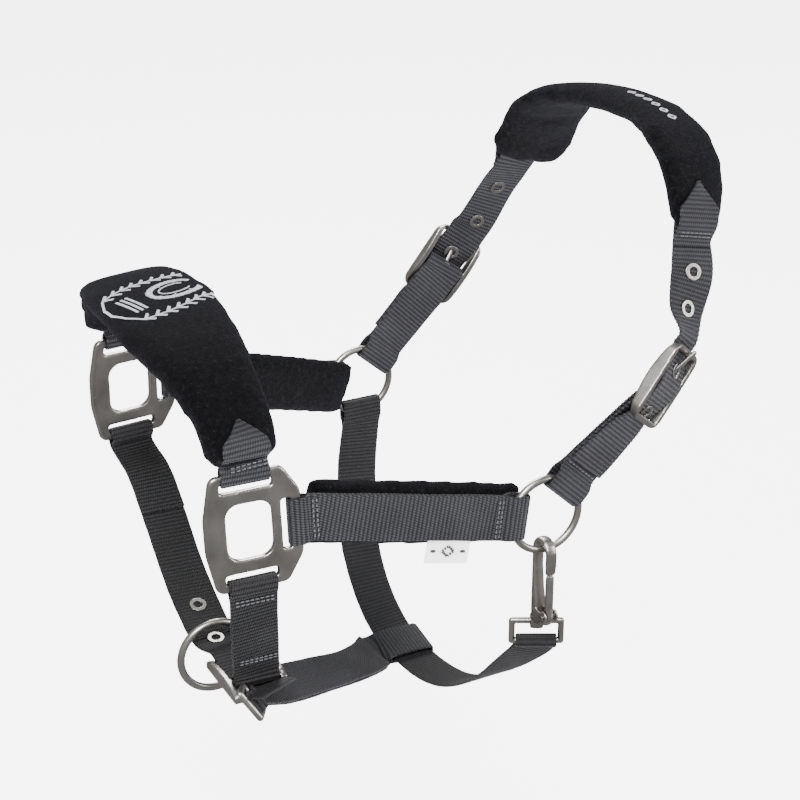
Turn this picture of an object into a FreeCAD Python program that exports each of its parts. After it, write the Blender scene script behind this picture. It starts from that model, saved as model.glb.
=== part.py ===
import FreeCAD, Part
import math
import os

# Headcollar of 25 mm nylon webbing with fleece pads and cast nickel fittings. Millimetres.
# +Z is up, -X is towards the nose, -Y is the horse's left, which is called the near side.
# The origin is the middle of the poll pad's underside, where the headcollar rests on the head.
V = FreeCAD.Vector
X_AXIS = V(1, 0, 0)
Y_AXIS = V(0, 1, 0)
Z_AXIS = V(0, 0, 1)

# ---- driving sizes ---------------------------------------------------------------------------
WEB_WIDTH = 25.0
WEB = 2.0                      # one layer of webbing
DOUBLE = 2 * WEB
GAP = 0.3                      # between pieces that move on each other
SNUG = 0.1                     # between pieces that are sewn or pressed together
RING_OUTER = 44.5
WIRE = 4.0                     # wire of the rings
PAD_SKIN = 1.5                 # fleece cover of a pad
BAR_RADIUS = 1.9               # buckle bars
BUCKLE_REACH = 21.0            # centre bar to either end bar
BUCKLE_STEP = 3.0              # end bars stand this far outside the centre bar
BUCKLE_INNER = 26.4            # between the rails
RAIL = 3.4                     # rail thickness
BUCKLE_CORNER = 7.0
PLATE_THICKNESS = 4.0
EYELET_BORE = 2.5
EYELET_BARREL = 3.1
EYELET_FLANGE = 4.6
EYELET_LIP = 0.5

SIDES = ("near", "far")
OUTWARD = {"near": V(0, -1, 0), "far": V(0, 1, 0)}
RING = {"near": V(-107.5, -109.0, -178.0), "far": V(-111.0, 111.5, -185.0)}
PLATE = {"near": V(-272.0, -100.5, -153.0), "far": V(-269.5, 81.5, -146.0)}
CROWN_BUCKLE = {"near": V(-46.0, -118.5, -111.0), "far": V(-51.0, 114.7, -120.7)}
BUCKLE_TILT = {"near": 0.0, "far": -7.0}   # degrees, in the plane of the strap
CROWN_OUT = {"near": V(0.30, -0.90, -0.30), "far": V(0.12, 0.97, -0.12)}
CROWN_ROUTE = {
    "near": [(V(-25.1, -108.2, -76.6), V(0.0, -0.97, -0.22)),
             (V(-17.6, -100.8, -59.7), V(-0.12, -0.97, 0.12))],
    "far": [(V(-32.8, 107.1, -91.8), V(0.14, 0.97, 0.1)),
            (V(-23.6, 98.4, -68.9), V(0.07, 0.94, 0.34))],
}
CROWN_TAIL = {"near": 60.0, "far": 55.0}
# Poll pad, near end to far end: (middle x, y, z) of its thickness, width there, and how far
# its outer face turns towards the back.
POLL_PAD = [(-14.0, -93.5, -44.0, 31.0, 6.0), (-10.5, -88.5, -27.0, 39.0, 6.0),
            (-7.0, -78.5, -10.5, 44.0, 4.0), (-3.0, -58.0, 1.5, 47.0, 0.0),
            (1.5, -30.0, 7.0, 44.0, 0.0), (0.0, 0.0, 6.5, 42.0, 0.0), (-2.0, 28.0, 3.5, 46.0, 0.0),
            (-5.0, 52.0, -3.0, 54.0, 0.0), (-6.0, 68.0, -14.0, 60.0, 0.0),
            (-7.0, 79.0, -32.0, 61.0, 0.0), (-12.5, 86.0, -53.0, 55.0, 0.0)]
STRAP_IN_PAD = {9: 3.0, 10: 7.0}   # the strap leaves the pad's far end off its middle, by pad place
POLL_ROLL = 7.0                # degrees, back edge lower, over the middle
POLL_THICKNESS = 13.0
NOSE_THICKNESS = 14.5
NOSE_HALF = 90.5
NOSE_MIDDLE = V(-272.0, -9.5, -126.0)
NOSE_RISE = 60.0
NOSE_POWER = 2.25
NOSE_SKEW = 9.0                # the crown of the arch leans to the far side
NOSE_WIDTH = (43.0, 71.0)      # at the ends and over the nose
NOSE_TOP_SHIFT = -8.5         # the top stands further forward than the ends
NOSE_TOP_ROLL = 3.0            # degrees, back edge higher
NOSE_YAW = 11.0                # degrees, the top of the pad has slipped round
NOSE_FLARE = 3.5               # how late the pad widens towards the top
CHEEK_PAD_HEIGHT = 35.0
CHEEK_PAD_THICKNESS = 10.5
CHIN_BAR = V(-266.5, -88.0, -246.0)
CHIN_REACH = 26.0
LEAD_RING = V(-271.8, -45.0, -254.0)
LEAD_OUTER = 43.4
LEAD_WIRE = 4.2
SNAP_X = -107.3
EYE_WIRE = 3.5
EYE_SPAN = 26.8                # rail to rail of the snap's eye, centre lines
EYE_TOP = V(SNAP_X, -102.9, -245.5)
EYE_BOTTOM = V(SNAP_X, -102.9, -258.0)
EYE_AXIS = V(0.895, -0.446, 0.0)
THROAT = [V(-114.5, 110.5, -246.0), V(-119.0, 98.0, -284.0), V(-120.5, 77.0, -311.0),
          V(-119.0, 51.5, -329.0), V(-116.0, 17.5, -334.5), V(-114.0, -21.5, -326.5),
          V(-111.5, -59.0, -303.0), V(-109.0, -84.0, -280.0)]
THROAT_TURN = 24.0             # how far the last piece of the throat strap twists towards the eye
CHIN_FAR = [V(-267.5, 62.0, -193.0), V(-267.5, 40.0, -208.0), V(-268.5, 12.0, -227.5),
            V(-269.5, -15.0, -240.0), V(-270.0, -42.0, -246.5)]
CHIN_FAR_OUT = [V(0, 0.62, -0.78), V(0, 0.6, -0.8), V(0, 0.5, -0.87), V(0, 0.35, -0.94), V(0, 0.12, -1)]
LINK_ROD = (V(-279.5, -99.0, -246.5), V(-271.3, -105.0, -259.4))
LINK_STEP = V(3.9, 5.8, 0.4)   # from the bare rod of the link to the bar inside the strap
LINK_FOLD_WIDTH = 13.0
LINK_STRAP = [V(-249.0, -75.0, -263.4), V(-211.0, -45.0, -283.0), V(-175.5, -15.0, -302.5),
              V(-152.0, 14.0, -319.0)]
LINK_WIDE = [V(0.53, -0.65, -0.55), V(0.55, -0.70, -0.45), V(0.53, -0.80, -0.30),
             V(0.35, -0.90, -0.24)]
LINK_LOOP_Y = 37.0

WIRE_RADIUS = WIRE / 2
RING_RADIUS = RING_OUTER / 2 - WIRE_RADIUS
RING_AXIS = (RING["far"] - RING["near"]).normalize()
CHORD = math.sqrt(RING_RADIUS ** 2 - (WEB_WIDTH / 2) ** 2)


# ---- geometry helpers --------------------------------------------------------------------------
def unit(vector):
    return V(vector).normalize()


def square_to(vector, direction):
    """The part of vector that is square to direction, made unit length."""
    along = unit(direction)
    return unit(V(vector) - along * V(vector).dot(along))


def turned(vector, axis, degrees):
    return FreeCAD.Rotation(axis, degrees).multVec(V(vector))


class Frame:
    """A place on a strap: along it, out of its outer face, and across its width."""

    def __init__(self, origin, along, out):
        self.origin = V(origin)
        self.along = unit(along)
        self.out = square_to(out, along)
        self.across = self.out.cross(self.along)

    def at(self, a, c, b=0.0):
        return self.origin + self.along * a + self.out * c + self.across * b

    def moved(self, a, c=0.0, b=0.0):
        return Frame(self.at(a, c, b), self.along, self.out)


def polygon(points):
    return Part.makePolygon(list(points) + [points[0]])


def slab(points, sweep):
    """A flat outline swept into a solid."""
    return Part.Face(polygon(points)).extrude(sweep)


def rod(start, end, radius):
    return Part.makeCylinder(radius, (end - start).Length, start, end - start)


def joined(shapes):
    return shapes[0].multiFuse(shapes[1:]).removeSplitter() if len(shapes) > 1 else shapes[0]


def wire_path(points, radius, closed=False):
    """Round wire through corner points, with a ball at each corner."""
    pairs = list(zip(points, points[1:])) + ([(points[-1], points[0])] if closed else [])
    pieces = [rod(start, end, radius) for start, end in pairs]
    corners = points if closed else points[1:-1]
    pieces += [Part.makeSphere(radius, corner) for corner in corners]
    return joined(pieces)


def largest(shape):
    """The biggest solid of a cut, so that no crumbs are kept."""
    return max(shape.Solids, key=lambda solid: solid.Volume)


def frames_through(places, outs):
    """Frames at places, each looking along the path that joins its neighbours."""
    frames = []
    for index, (place, out) in enumerate(zip(places, outs)):
        before = places[max(index - 1, 0)]
        after = places[min(index + 1, len(places) - 1)]
        frames.append(Frame(place, after - before, out))
    return frames


# ---- webbing -----------------------------------------------------------------------------------
def strap_section(frame, thickness, width=WEB_WIDTH):
    half = width / 2
    deep = thickness / 2
    return polygon([frame.at(0, -deep, -half), frame.at(0, -deep, half),
                    frame.at(0, deep, half), frame.at(0, deep, -half)])


def ribbon(frames, thickness=WEB, smooth=True, widths=None):
    widths = widths or [WEB_WIDTH] * len(frames)
    wires = [strap_section(frame, thickness, width) for frame, width in zip(frames, widths)]
    return Part.makeLoft(wires, True, not smooth)


def fold_outline(frame, radius, straight, taper, neck, width):
    """Round end behind the frame's origin, parallel sides, then a taper to the neck."""
    half = width / 2
    points = [frame.at(0, -radius, -half), frame.at(-radius, 0, -half), frame.at(0, radius, -half),
              frame.at(straight, radius, -half), frame.at(straight + taper, neck, -half),
              frame.at(straight + taper, -neck, -half), frame.at(straight, -radius, -half)]
    edges = [Part.Arc(points[0], points[1], points[2]).toShape()]
    edges += [Part.makeLine(start, end) for start, end in zip(points[2:], points[3:])]
    edges.append(Part.makeLine(points[-1], points[0]))
    return Part.Face(Part.Wire(edges)).extrude(frame.across * width)


FOLD_TAPER = 5.0
HOLLOW_NECK = 0.05


def fold(frame, radius, straight, width=WEB_WIDTH):
    """A strap folded round a bar; both layers meet at the far end of the taper."""
    outside = fold_outline(frame, radius + WEB, straight, FOLD_TAPER, WEB, width)
    inside = fold_outline(frame, radius, straight, FOLD_TAPER - 1.0, HOLLOW_NECK, width)
    return outside.cut(inside)


def fold_end(frame, straight):
    return frame.moved(straight + FOLD_TAPER)


def ring_fold_frame(side, degrees):
    """Frame of a strap loop on a cheek ring, leaving the ring at this angle in the side view."""
    angle = math.radians(degrees)
    ray = square_to(V(math.cos(angle), 0, math.sin(angle)), RING_AXIS)
    out = RING_AXIS if side == "far" else RING_AXIS * -1
    return Frame(RING[side] + ray * CHORD, ray, out)


RING_FOLD_RADIUS = WIRE_RADIUS + GAP
RING_FOLD_STRAIGHT = RING_OUTER / 2 + 2 * GAP - CHORD


def ring_space(centre, axis, outer, wire):
    """A ring and the gap round its wire."""
    return ring(centre, axis, outer + 2 * GAP, wire + 2 * GAP)


def ring_fold(frame, side):
    """A strap's loop on a cheek ring, clear of the wire where the ring curves away."""
    loop = fold(frame, RING_FOLD_RADIUS, RING_FOLD_STRAIGHT)
    return loop.cut(ring_space(RING[side], RING_AXIS, RING_OUTER, WIRE))


# ---- hardware ----------------------------------------------------------------------------------
def ring(centre, axis, outer, wire):
    return Part.makeTorus(outer / 2 - wire / 2, wire / 2, centre, axis)


def lens_rail(frame, b_inner, b_outer, reach_back, reach_front):
    """A buckle rail: narrow at the end bars and deep beside the centre bar."""
    deep_out = BUCKLE_STEP + 2.2
    deep_in = -2.5
    low = BUCKLE_STEP - BAR_RADIUS
    high = BUCKLE_STEP + BAR_RADIUS
    back = -reach_back - BAR_RADIUS
    front = reach_front + BAR_RADIUS
    middle = (back + front) / 2
    edges = [
        Part.Arc(frame.at(back, high, b_inner), frame.at(middle, deep_out, b_inner),
                 frame.at(front, high, b_inner)).toShape(),
        Part.makeLine(frame.at(front, high, b_inner), frame.at(front, low, b_inner)),
        Part.Arc(frame.at(front, low, b_inner), frame.at(middle, deep_in, b_inner),
                 frame.at(back, low, b_inner)).toShape(),
        Part.makeLine(frame.at(back, low, b_inner), frame.at(back, high, b_inner))]
    return Part.Face(Part.Wire(edges)).extrude(frame.across * (b_outer - b_inner))


def bar(frame, a, c):
    half = BUCKLE_INNER / 2 + RAIL / 2
    return rod(frame.at(a, c, -half), frame.at(a, c, half), BAR_RADIUS)


def crown_buckle(frame):
    inner = BUCKLE_INNER / 2
    rails = [lens_rail(frame, inner, inner + RAIL, BUCKLE_REACH, BUCKLE_REACH),
             lens_rail(frame, -inner - RAIL, -inner, BUCKLE_REACH, BUCKLE_REACH)]
    bars = [bar(frame, 0, 0), bar(frame, BUCKLE_REACH, BUCKLE_STEP), bar(frame, -BUCKLE_REACH, BUCKLE_STEP)]
    return joined(rails + bars).common(rounded_block(frame, BUCKLE_REACH + BAR_RADIUS, inner + RAIL))


def rounded_block(frame, half_length, half_width):
    """A block through which a buckle's outline is cut, with round corners seen from outside."""
    deep = BUCKLE_INNER
    low = [frame.at(a, -deep, b) for a, b in ((-half_length, -half_width), (half_length, -half_width),
                                              (half_length, half_width), (-half_length, half_width))]
    block = slab(low, frame.out * (2 * deep))
    upright = [edge for edge in block.Edges if abs(edge.tangentAt(edge.FirstParameter).dot(frame.out)) > 0.99]
    return block.makeFillet(BUCKLE_CORNER, upright)


PRONG_RADIUS = 1.3
PRONG_EYE = BAR_RADIUS + GAP
PRONG_EYE_WALL = 1.4
PRONG_EYE_WIDTH = 4.2
PRONG_SWING = 7.0
PRONG_OVERHANG = 1.5
PRONG_SLANT = 1.06             # lean of the pin, as hypotenuse over run, with a little to spare


def prong_tip(reach):
    """The tip clears the end bar by the gap, measured square to the leaning pin."""
    clear = (BAR_RADIUS + GAP + PRONG_RADIUS) * PRONG_SLANT
    return reach + PRONG_OVERHANG, (BUCKLE_STEP + clear) * (reach + PRONG_OVERHANG) / reach


def prong(frame, reach):
    """A pin from an eye on the centre bar, over the end bar."""
    half = PRONG_EYE_WIDTH / 2
    eye = rod(frame.at(0, 0, -half), frame.at(0, 0, half), PRONG_EYE + PRONG_EYE_WALL)
    a, c = prong_tip(reach)
    start = frame.at(0, 0)
    tip = frame.at(a, c)
    shaft = joined([rod(start, tip, PRONG_RADIUS), Part.makeSphere(PRONG_RADIUS, tip)])
    bore = rod(frame.at(0, 0, -WEB_WIDTH), frame.at(0, 0, WEB_WIDTH), PRONG_EYE)
    return joined([eye, shaft]).cut(bore)


def prong_space(frame, reach):
    """The room a prong needs from lying down to lifted, as far as the straps are concerned."""
    a, c = prong_tip(reach)
    lean = math.degrees(math.atan2(c, a))
    half = PRONG_RADIUS + 2 * GAP
    clear = PRONG_RADIUS + 2 * GAP

    def edge(distance, degrees, shift):
        angle = math.radians(degrees)
        return frame.at(distance * math.cos(angle) - shift * math.sin(angle),
                        distance * math.sin(angle) + shift * math.cos(angle), -half)

    length = math.hypot(a, c) + PRONG_RADIUS + 2 * GAP
    points = [edge(0, lean, -clear), edge(length, lean, -clear), edge(length, lean + PRONG_SWING, clear),
              edge(0, lean + PRONG_SWING, clear)]
    return slab(points, frame.across * (2 * half))


def prong_eye_space(frame):
    half = PRONG_EYE_WIDTH / 2 + GAP
    radius = PRONG_EYE + PRONG_EYE_WALL + GAP
    return rod(frame.at(0, 0, -half), frame.at(0, 0, half), radius)


def eyelet(frame):
    """A rolled grommet through one layer of webbing."""
    deep = WEB / 2
    barrel = rod(frame.at(0, -deep), frame.at(0, deep), EYELET_BARREL)
    flanges = [rod(frame.at(0, deep), frame.at(0, deep + EYELET_LIP), EYELET_FLANGE),
               rod(frame.at(0, -deep - EYELET_LIP), frame.at(0, -deep), EYELET_FLANGE)]
    bore = rod(frame.at(0, -WEB * 2), frame.at(0, WEB * 2), EYELET_BORE)
    return joined([barrel] + flanges).cut(bore)


def eyelet_hole(frame):
    return rod(frame.at(0, -WEB), frame.at(0, WEB), EYELET_BARREL)


# ---- pads ---------------------------------------------------------------------------------------
def pad_section(frame, width, thickness):
    """Rectangle with large round corners, across the strap direction."""
    corner = min(thickness, width) * 0.42
    half = width / 2
    deep = thickness / 2
    bend = corner * (1 - math.sqrt(0.5))
    corners = [((half, deep - corner), (half - bend, deep - bend), (half - corner, deep)),
               ((-half + corner, deep), (-half + bend, deep - bend), (-half, deep - corner)),
               ((-half, -deep + corner), (-half + bend, -deep + bend), (-half + corner, -deep)),
               ((half - corner, -deep), (half - bend, -deep + bend), (half, -deep + corner))]
    edges = []
    for index, triple in enumerate(corners):
        start, middle, end = [frame.at(0, c, b) for b, c in triple]
        edges.append(Part.Arc(start, middle, end).toShape())
        following = corners[(index + 1) % 4][0]
        edges.append(Part.makeLine(end, frame.at(0, following[1], following[0])))
    return Part.Wire(edges)


END_ROUND = ((0.0, 0.62, 0.50), (1.2, 0.80, 0.76), (3.6, 0.94, 0.94))


def pad_solid(frames, widths, thickness, inset=0.0):
    """A pad lofted through frames and drawn in at both ends; inset makes it smaller all round."""
    stations = []
    last = len(frames) - 1
    for distance, across, deep in END_ROUND:
        stations.append((frames[0].moved(distance + inset), widths[0] * across, thickness * deep))
    for index in range(1, last):
        stations.append((frames[index], widths[index], thickness))
    for distance, across, deep in reversed(END_ROUND):
        stations.append((frames[last].moved(-distance - inset), widths[last] * across, thickness * deep))
    wires = [pad_section(frame, width - 2 * inset, deep - 2 * inset) for frame, width, deep in stations]
    return Part.makeLoft(wires, True, False)


def cover_and_foam(frames, widths, thickness, strap):
    """The fleece cover of a pad and the foam inside it, both with room for the strap."""
    outside = pad_solid(frames, widths, thickness)
    filling = pad_solid(frames, widths, thickness, PAD_SKIN)
    cover = largest(outside.cut(filling).cut(strap))
    foam = largest(pad_solid(frames, widths, thickness, PAD_SKIN + SNUG).cut(strap))
    return cover, foam


# ---- headpiece ------------------------------------------------------------------------------------
RING_STRAP_DEGREES = {"near": 47.0, "far": 49.0}
CHEEK_DEGREES = 171.4
STRAP_LEAN = 9.5               # degrees between a ring strap and its buckle
CENTRE_FOLD = BAR_RADIUS + 0.15
CENTRE_FOLD_STRAIGHT = 0.5
OVER_BAR = CENTRE_FOLD + WEB + SNUG + WEB / 2
BEHIND_BAR = -0.35
LYING_ON = WEB + WEB / 2 + 0.15


def lean_frames(side):
    """The ring strap's frame at the centre bar, and the buckle's own frame there."""
    place = CROWN_BUCKLE[side]
    square = Frame(place, place - RING[side], CROWN_OUT[side])
    strap = Frame(place, turned(square.along, square.out, BUCKLE_TILT[side]), square.out)
    lean = math.radians(STRAP_LEAN)
    along = strap.along * math.cos(lean) - strap.out * math.sin(lean)
    out = strap.out * math.cos(lean) + strap.along * math.sin(lean)
    return strap, Frame(place, along, out)


def ring_strap_frames(side):
    """Frames of the doubled ring strap from the end of its ring fold to its buckle fold."""
    strap, buckle_frame = lean_frames(side)
    lower = fold_end(ring_fold_frame(side, RING_STRAP_DEGREES[side]), RING_FOLD_STRAIGHT)
    upper_fold = Frame(strap.origin, strap.along * -1, strap.out)
    upper_end = fold_end(upper_fold, CENTRE_FOLD_STRAIGHT)
    upper = Frame(upper_end.origin, strap.along, strap.out)
    frames = []
    steps = 5
    for step in range(steps + 1):
        share = step / steps
        place = lower.origin * (1 - share) + upper.origin * share
        along = lower.along * (1 - share) + upper.along * share
        out = lower.out * (1 - share) + upper.out * share
        frames.append(Frame(place, along, out))
    return frames, upper_fold


def ring_strap(side, buckle_shape, buckle_frame):
    frames, upper_fold = ring_strap_frames(side)
    pieces = [ring_fold(ring_fold_frame(side, RING_STRAP_DEGREES[side]), side),
              ribbon(frames, DOUBLE),
              fold(upper_fold, CENTRE_FOLD, CENTRE_FOLD_STRAIGHT)]
    strap = joined(pieces).cut(prong_eye_space(buckle_frame)).cut(prong_space(buckle_frame, BUCKLE_REACH))
    return largest(strap.cut(buckle_shape))


def crown_side_frames(side):
    """Crown strap from its tail end, through the buckle and up to the pad."""
    strap_frames, _ = ring_strap_frames(side)
    strap, buckle_frame = lean_frames(side)
    tail = []
    for frame in strap_frames[:-1]:
        distance = (strap.origin - frame.origin).Length
        if BUCKLE_REACH + 6.0 < distance < CROWN_TAIL[side]:
            tail.append(frame.moved(0, LYING_ON))
    shift = strap_frames[0].origin - strap.origin
    share = CROWN_TAIL[side] / shift.Length
    first = Frame(strap.origin + shift * share, strap_frames[0].along,
                  strap_frames[1].out).moved(0, LYING_ON)
    in_buckle = [(-BUCKLE_REACH, BEHIND_BAR), (-2.0, OVER_BAR), (2.0, OVER_BAR), (BUCKLE_REACH, BEHIND_BAR),
                 (BUCKLE_REACH + 7.0, BEHIND_BAR - 0.3)]
    places = [first.origin] + [frame.origin for frame in tail]
    outs = [first.out] + [frame.out for frame in tail]
    for a, c in in_buckle:
        places.append(buckle_frame.at(a, c))
        outs.append(buckle_frame.out)
    for place, out in CROWN_ROUTE[side]:
        places.append(place)
        outs.append(out)
    end = pad_frames()[0] if side == "near" else pad_frames()[-1]
    frames = frames_through(places + [end.origin], outs + [end.out])[:-1]
    return frames


def pad_frames():
    """Frames along the middle of the poll pad, near end to far end."""
    places = [V(x, y, z) for x, y, z, _, _ in POLL_PAD]
    outs = [V(turn, y, z + 75.0) for _, y, z, _, turn in POLL_PAD]
    rolled = []
    for frame in frames_through(places, outs):
        share = max(0.0, frame.out.z)
        rolled.append(Frame(frame.origin, frame.along, turned(frame.out, frame.along, POLL_ROLL * share)))
    return rolled


def turned_back(frame):
    return Frame(frame.origin, frame.along * -1, frame.out)


def crown_path():
    """The two buckle ends and the middle of the crown strap, as lists of frames that share ends."""
    near = crown_side_frames("near")
    far = [turned_back(frame) for frame in reversed(crown_side_frames("far"))]
    inside = [frame.moved(0, 0, STRAP_IN_PAD.get(index, 0.0)) for index, frame in enumerate(pad_frames())]
    middle = [near[-1]] + inside + [far[0]]
    return near, middle, far


def prong_crossing(reach):
    """Where the strap meets the prong inside a buckle: distance along and its height."""
    slope = (OVER_BAR - BEHIND_BAR) / (reach - 2.0)
    a_tip, c_tip = prong_tip(reach)
    rise = c_tip / a_tip
    a = (OVER_BAR + 2.0 * slope) / (rise + slope)
    return a, rise * a, slope


def prong_eyelet_frame(buckle_frame, reach):
    a, c, slope = prong_crossing(reach)
    along = buckle_frame.along - buckle_frame.out * slope
    return Frame(buckle_frame.at(a, c), along, buckle_frame.out)


def crown_eyelet_frames(side):
    """Two free eyelets above the buckle, the one the prong is in, and one on the tail."""
    strap_frames = crown_side_frames(side)
    _, buckle_frame = lean_frames(side)
    upper, lower = strap_frames[-1], strap_frames[-2]
    tail_a = -BUCKLE_REACH + 4.5
    share = (tail_a + BUCKLE_REACH) / (BUCKLE_REACH - 2.0)
    tail_c = BEHIND_BAR + (OVER_BAR - BEHIND_BAR) * share
    slope = (OVER_BAR - BEHIND_BAR) / (BUCKLE_REACH - 2.0)
    tail = Frame(buckle_frame.at(tail_a, tail_c), buckle_frame.along + buckle_frame.out * slope,
                 buckle_frame.out)
    return [upper, lower, prong_eyelet_frame(buckle_frame, BUCKLE_REACH), tail]


def eyelets_of(frames, spaces):
    """All grommets of one strap as a single piece, cleared where the prong passes."""
    grommets = []
    for frame in frames:
        shape = eyelet(frame)
        for space in spaces:
            shape = shape.cut(space)
        grommets.append(shape)
    return Part.makeCompound(grommets)


CROWN_TAB = (15.0, 28.0)       # from the pad's end to the shoulders and to the tip
NOSE_TAB = (12.0, 23.5)
CROWN_TAB_SHIFT = 1.5
TAB_POINT = 2.0


def pointed_tab(frames, thickness, reach):
    """A pointed webbing tab on the outside of a pad, starting on the strap below it."""
    outer = thickness / 2 + WEB / 2 + SNUG
    start = frames[0]
    lift = [(-4.0, WEB + SNUG), (1.0, thickness * 0.25 + WEB / 2 + 0.6), (6.0, outer)]
    stations = [start.moved(a, c) for a, c in lift]
    shoulder = stationed(frames, reach[0]).moved(0, outer)
    tip = stationed(frames, reach[1]).moved(0, outer)
    widths = [WEB_WIDTH] * 4 + [TAB_POINT]
    return ribbon(stations + [shoulder, tip], WEB, False, widths)


def stationed(frames, distance):
    """The frame this far along a list of frames."""
    for start, end in zip(frames, frames[1:]):
        step = (end.origin - start.origin).Length
        if distance <= step:
            share = distance / step
            return Frame(start.origin * (1 - share) + end.origin * share,
                         start.along * (1 - share) + end.along * share,
                         start.out * (1 - share) + end.out * share)
        distance -= step
    return frames[-1]


def headpiece():
    parts = {}
    near, middle, far = crown_path()
    strap = joined([ribbon(near, WEB, False), ribbon(middle, WEB, True), ribbon(far, WEB, False)])
    frames = pad_frames()
    widths = [width for _, _, _, width, _ in POLL_PAD]
    cover, foam = cover_and_foam(frames, widths, POLL_THICKNESS, strap)
    backwards = [turned_back(frame) for frame in reversed(frames)]
    forward = [frame.moved(0, 0, CROWN_TAB_SHIFT) for frame in frames]
    tabs = {"near": pointed_tab(forward, POLL_THICKNESS, CROWN_TAB),
            "far": pointed_tab([frame.moved(0, 0, -STRAP_IN_PAD[10]) for frame in backwards],
                               POLL_THICKNESS, CROWN_TAB)}
    for side in SIDES:
        _, buckle_frame = lean_frames(side)
        buckle = crown_buckle(buckle_frame)
        space = prong_space(buckle_frame, BUCKLE_REACH)
        eyelet_frames = crown_eyelet_frames(side)
        for frame in eyelet_frames:
            strap = strap.cut(eyelet_hole(frame))
        strap = strap.cut(space).cut(buckle)
        parts[side + "_crown_buckle"] = buckle
        parts[side + "_buckle_prong"] = prong(buckle_frame, BUCKLE_REACH)
        eyelets = eyelets_of(eyelet_frames, [space, buckle])
        strap = strap.cut(eyelets)
        parts[side + "_ring_strap"] = largest(ring_strap(side, buckle, buckle_frame).cut(strap).cut(eyelets))
        parts[side + "_crown_eyelets"] = eyelets
        parts[side + "_crown_tab"] = tabs[side].cut(cover).cut(strap)
        parts[side + "_cheek_ring"] = ring(RING[side], RING_AXIS, RING_OUTER, WIRE)
    parts["crown_strap"] = strap
    parts["poll_pad"] = cover
    parts["poll_pad_foam"] = foam
    return parts


# ---- muzzle ------------------------------------------------------------------------------------
PLATE_ALONG = {"near": V(0.9974, -0.0685, 0.0234), "far": V(0.9974, 0.0685, 0.0234)}
PLATE_DOWN = {"near": V(0.0192, -0.0610, -0.9980), "far": V(0.0192, 0.0610, -0.9980)}
PLATE_TOP = 31.5
SLOT_INNER = 22.0
SLOT_OUTER = 27.0
REAR_SLOT = (16.8, 21.8)
PLATE_REAR = 27.5
SLOT_HALF = 13.5
PLATE_FOLD = PLATE_THICKNESS / 2 + 0.15
HOLE_HALF = (12.0, 15.0)
# Corners of a cheek plate: back along it, up it, and the radius there.
PLATE_NODES = [(-19.0, -PLATE_TOP, 5.0), (18.5, -PLATE_TOP, 5.0), (PLATE_REAR, -17.0, 11.0),
               (PLATE_REAR, 17.0, 11.0), (18.5, PLATE_TOP, 5.0), (-19.0, PLATE_TOP, 5.0),
               (-23.5, 9.0, 20.0), (-23.5, -9.0, 20.0)]


class Plate:
    """A cheek plate; u runs back along it and v runs up it."""

    def __init__(self, side):
        along = PLATE_ALONG[side]
        normal = PLATE_DOWN[side].cross(along)
        out = normal if normal.dot(OUTWARD[side]) > 0 else normal * -1
        self.frame = Frame(PLATE[side], along, out)
        self.up = PLATE_DOWN[side] * -1
        self.sign = 1 if self.frame.across.dot(self.up) > 0 else -1

    def at(self, u, v, c=0.0):
        return self.frame.at(u, c, v * self.sign)

    def rounded(self, nodes, deep):
        """A plate through (u, v, corner radius) nodes, its upright corners rounded."""
        shape = slab([self.at(u, v, -deep) for u, v, _ in nodes], self.frame.out * (2 * deep))
        for u, v, radius in nodes:
            corner = self.at(u, v)
            nearest = min(shape.Edges, key=lambda edge: (edge.CenterOfMass - corner).Length)
            shape = shape.makeFillet(radius, [nearest])
        return shape

    def opening(self, u_low, u_high, v_low, v_high, corner):
        nodes = [(u_low, v_low, corner), (u_high, v_low, corner), (u_high, v_high, corner),
                 (u_low, v_high, corner)]
        return self.rounded(nodes, PLATE_THICKNESS)

    def solid(self):
        base = self.rounded(PLATE_NODES, PLATE_THICKNESS / 2)
        rims = [edge for edge in base.Edges
                if abs((edge.Vertexes[0].Point - edge.Vertexes[-1].Point).dot(self.frame.out)) < 0.01]
        body = base.makeFillet(1.1, rims)
        u_hole, v_hole = HOLE_HALF
        openings = [self.opening(-u_hole, u_hole, -v_hole, v_hole, 7.0),
                    self.opening(-14.2, 13.2, SLOT_INNER, SLOT_OUTER, 1.2),
                    self.opening(-14.2, 13.2, -SLOT_OUTER, -SLOT_INNER, 1.2),
                    self.opening(REAR_SLOT[0], REAR_SLOT[1], -SLOT_HALF, SLOT_HALF, 1.2)]
        for opening in openings:
            body = body.cut(opening)
        return body

    def top_fold_frame(self):
        return Frame(self.at(-0.5, SLOT_OUTER + PLATE_FOLD - SNUG), self.up, self.frame.out)

    def bottom_fold_frame(self):
        return Frame(self.at(-0.5, -SLOT_OUTER - PLATE_FOLD + SNUG), self.up * -1, self.frame.out)

    def rear_fold_frame(self):
        return Frame(self.at(REAR_SLOT[1] + PLATE_FOLD - SNUG, 0), self.frame.along, self.frame.out)


END_FOLD_STRAIGHT = PLATE_TOP - SLOT_OUTER - PLATE_FOLD + 2 * SNUG
REAR_FOLD_STRAIGHT = PLATE_REAR - REAR_SLOT[1] - PLATE_FOLD + 2 * SNUG


def cheek_frames(side, plate):
    """Frames of the doubled cheek strap between its two folds, plate to ring."""
    front = fold_end(plate.rear_fold_frame(), REAR_FOLD_STRAIGHT)
    back = turned_back(fold_end(ring_fold_frame(side, CHEEK_DEGREES), RING_FOLD_STRAIGHT))
    frames = [front]
    for share in (0.15, 0.4, 0.65, 0.88):
        place = front.origin * (1 - share) + back.origin * share
        out = front.out * (1 - share) + back.out * share
        frames.append(Frame(place, back.origin - front.origin, out))
    return frames + [back]


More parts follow.
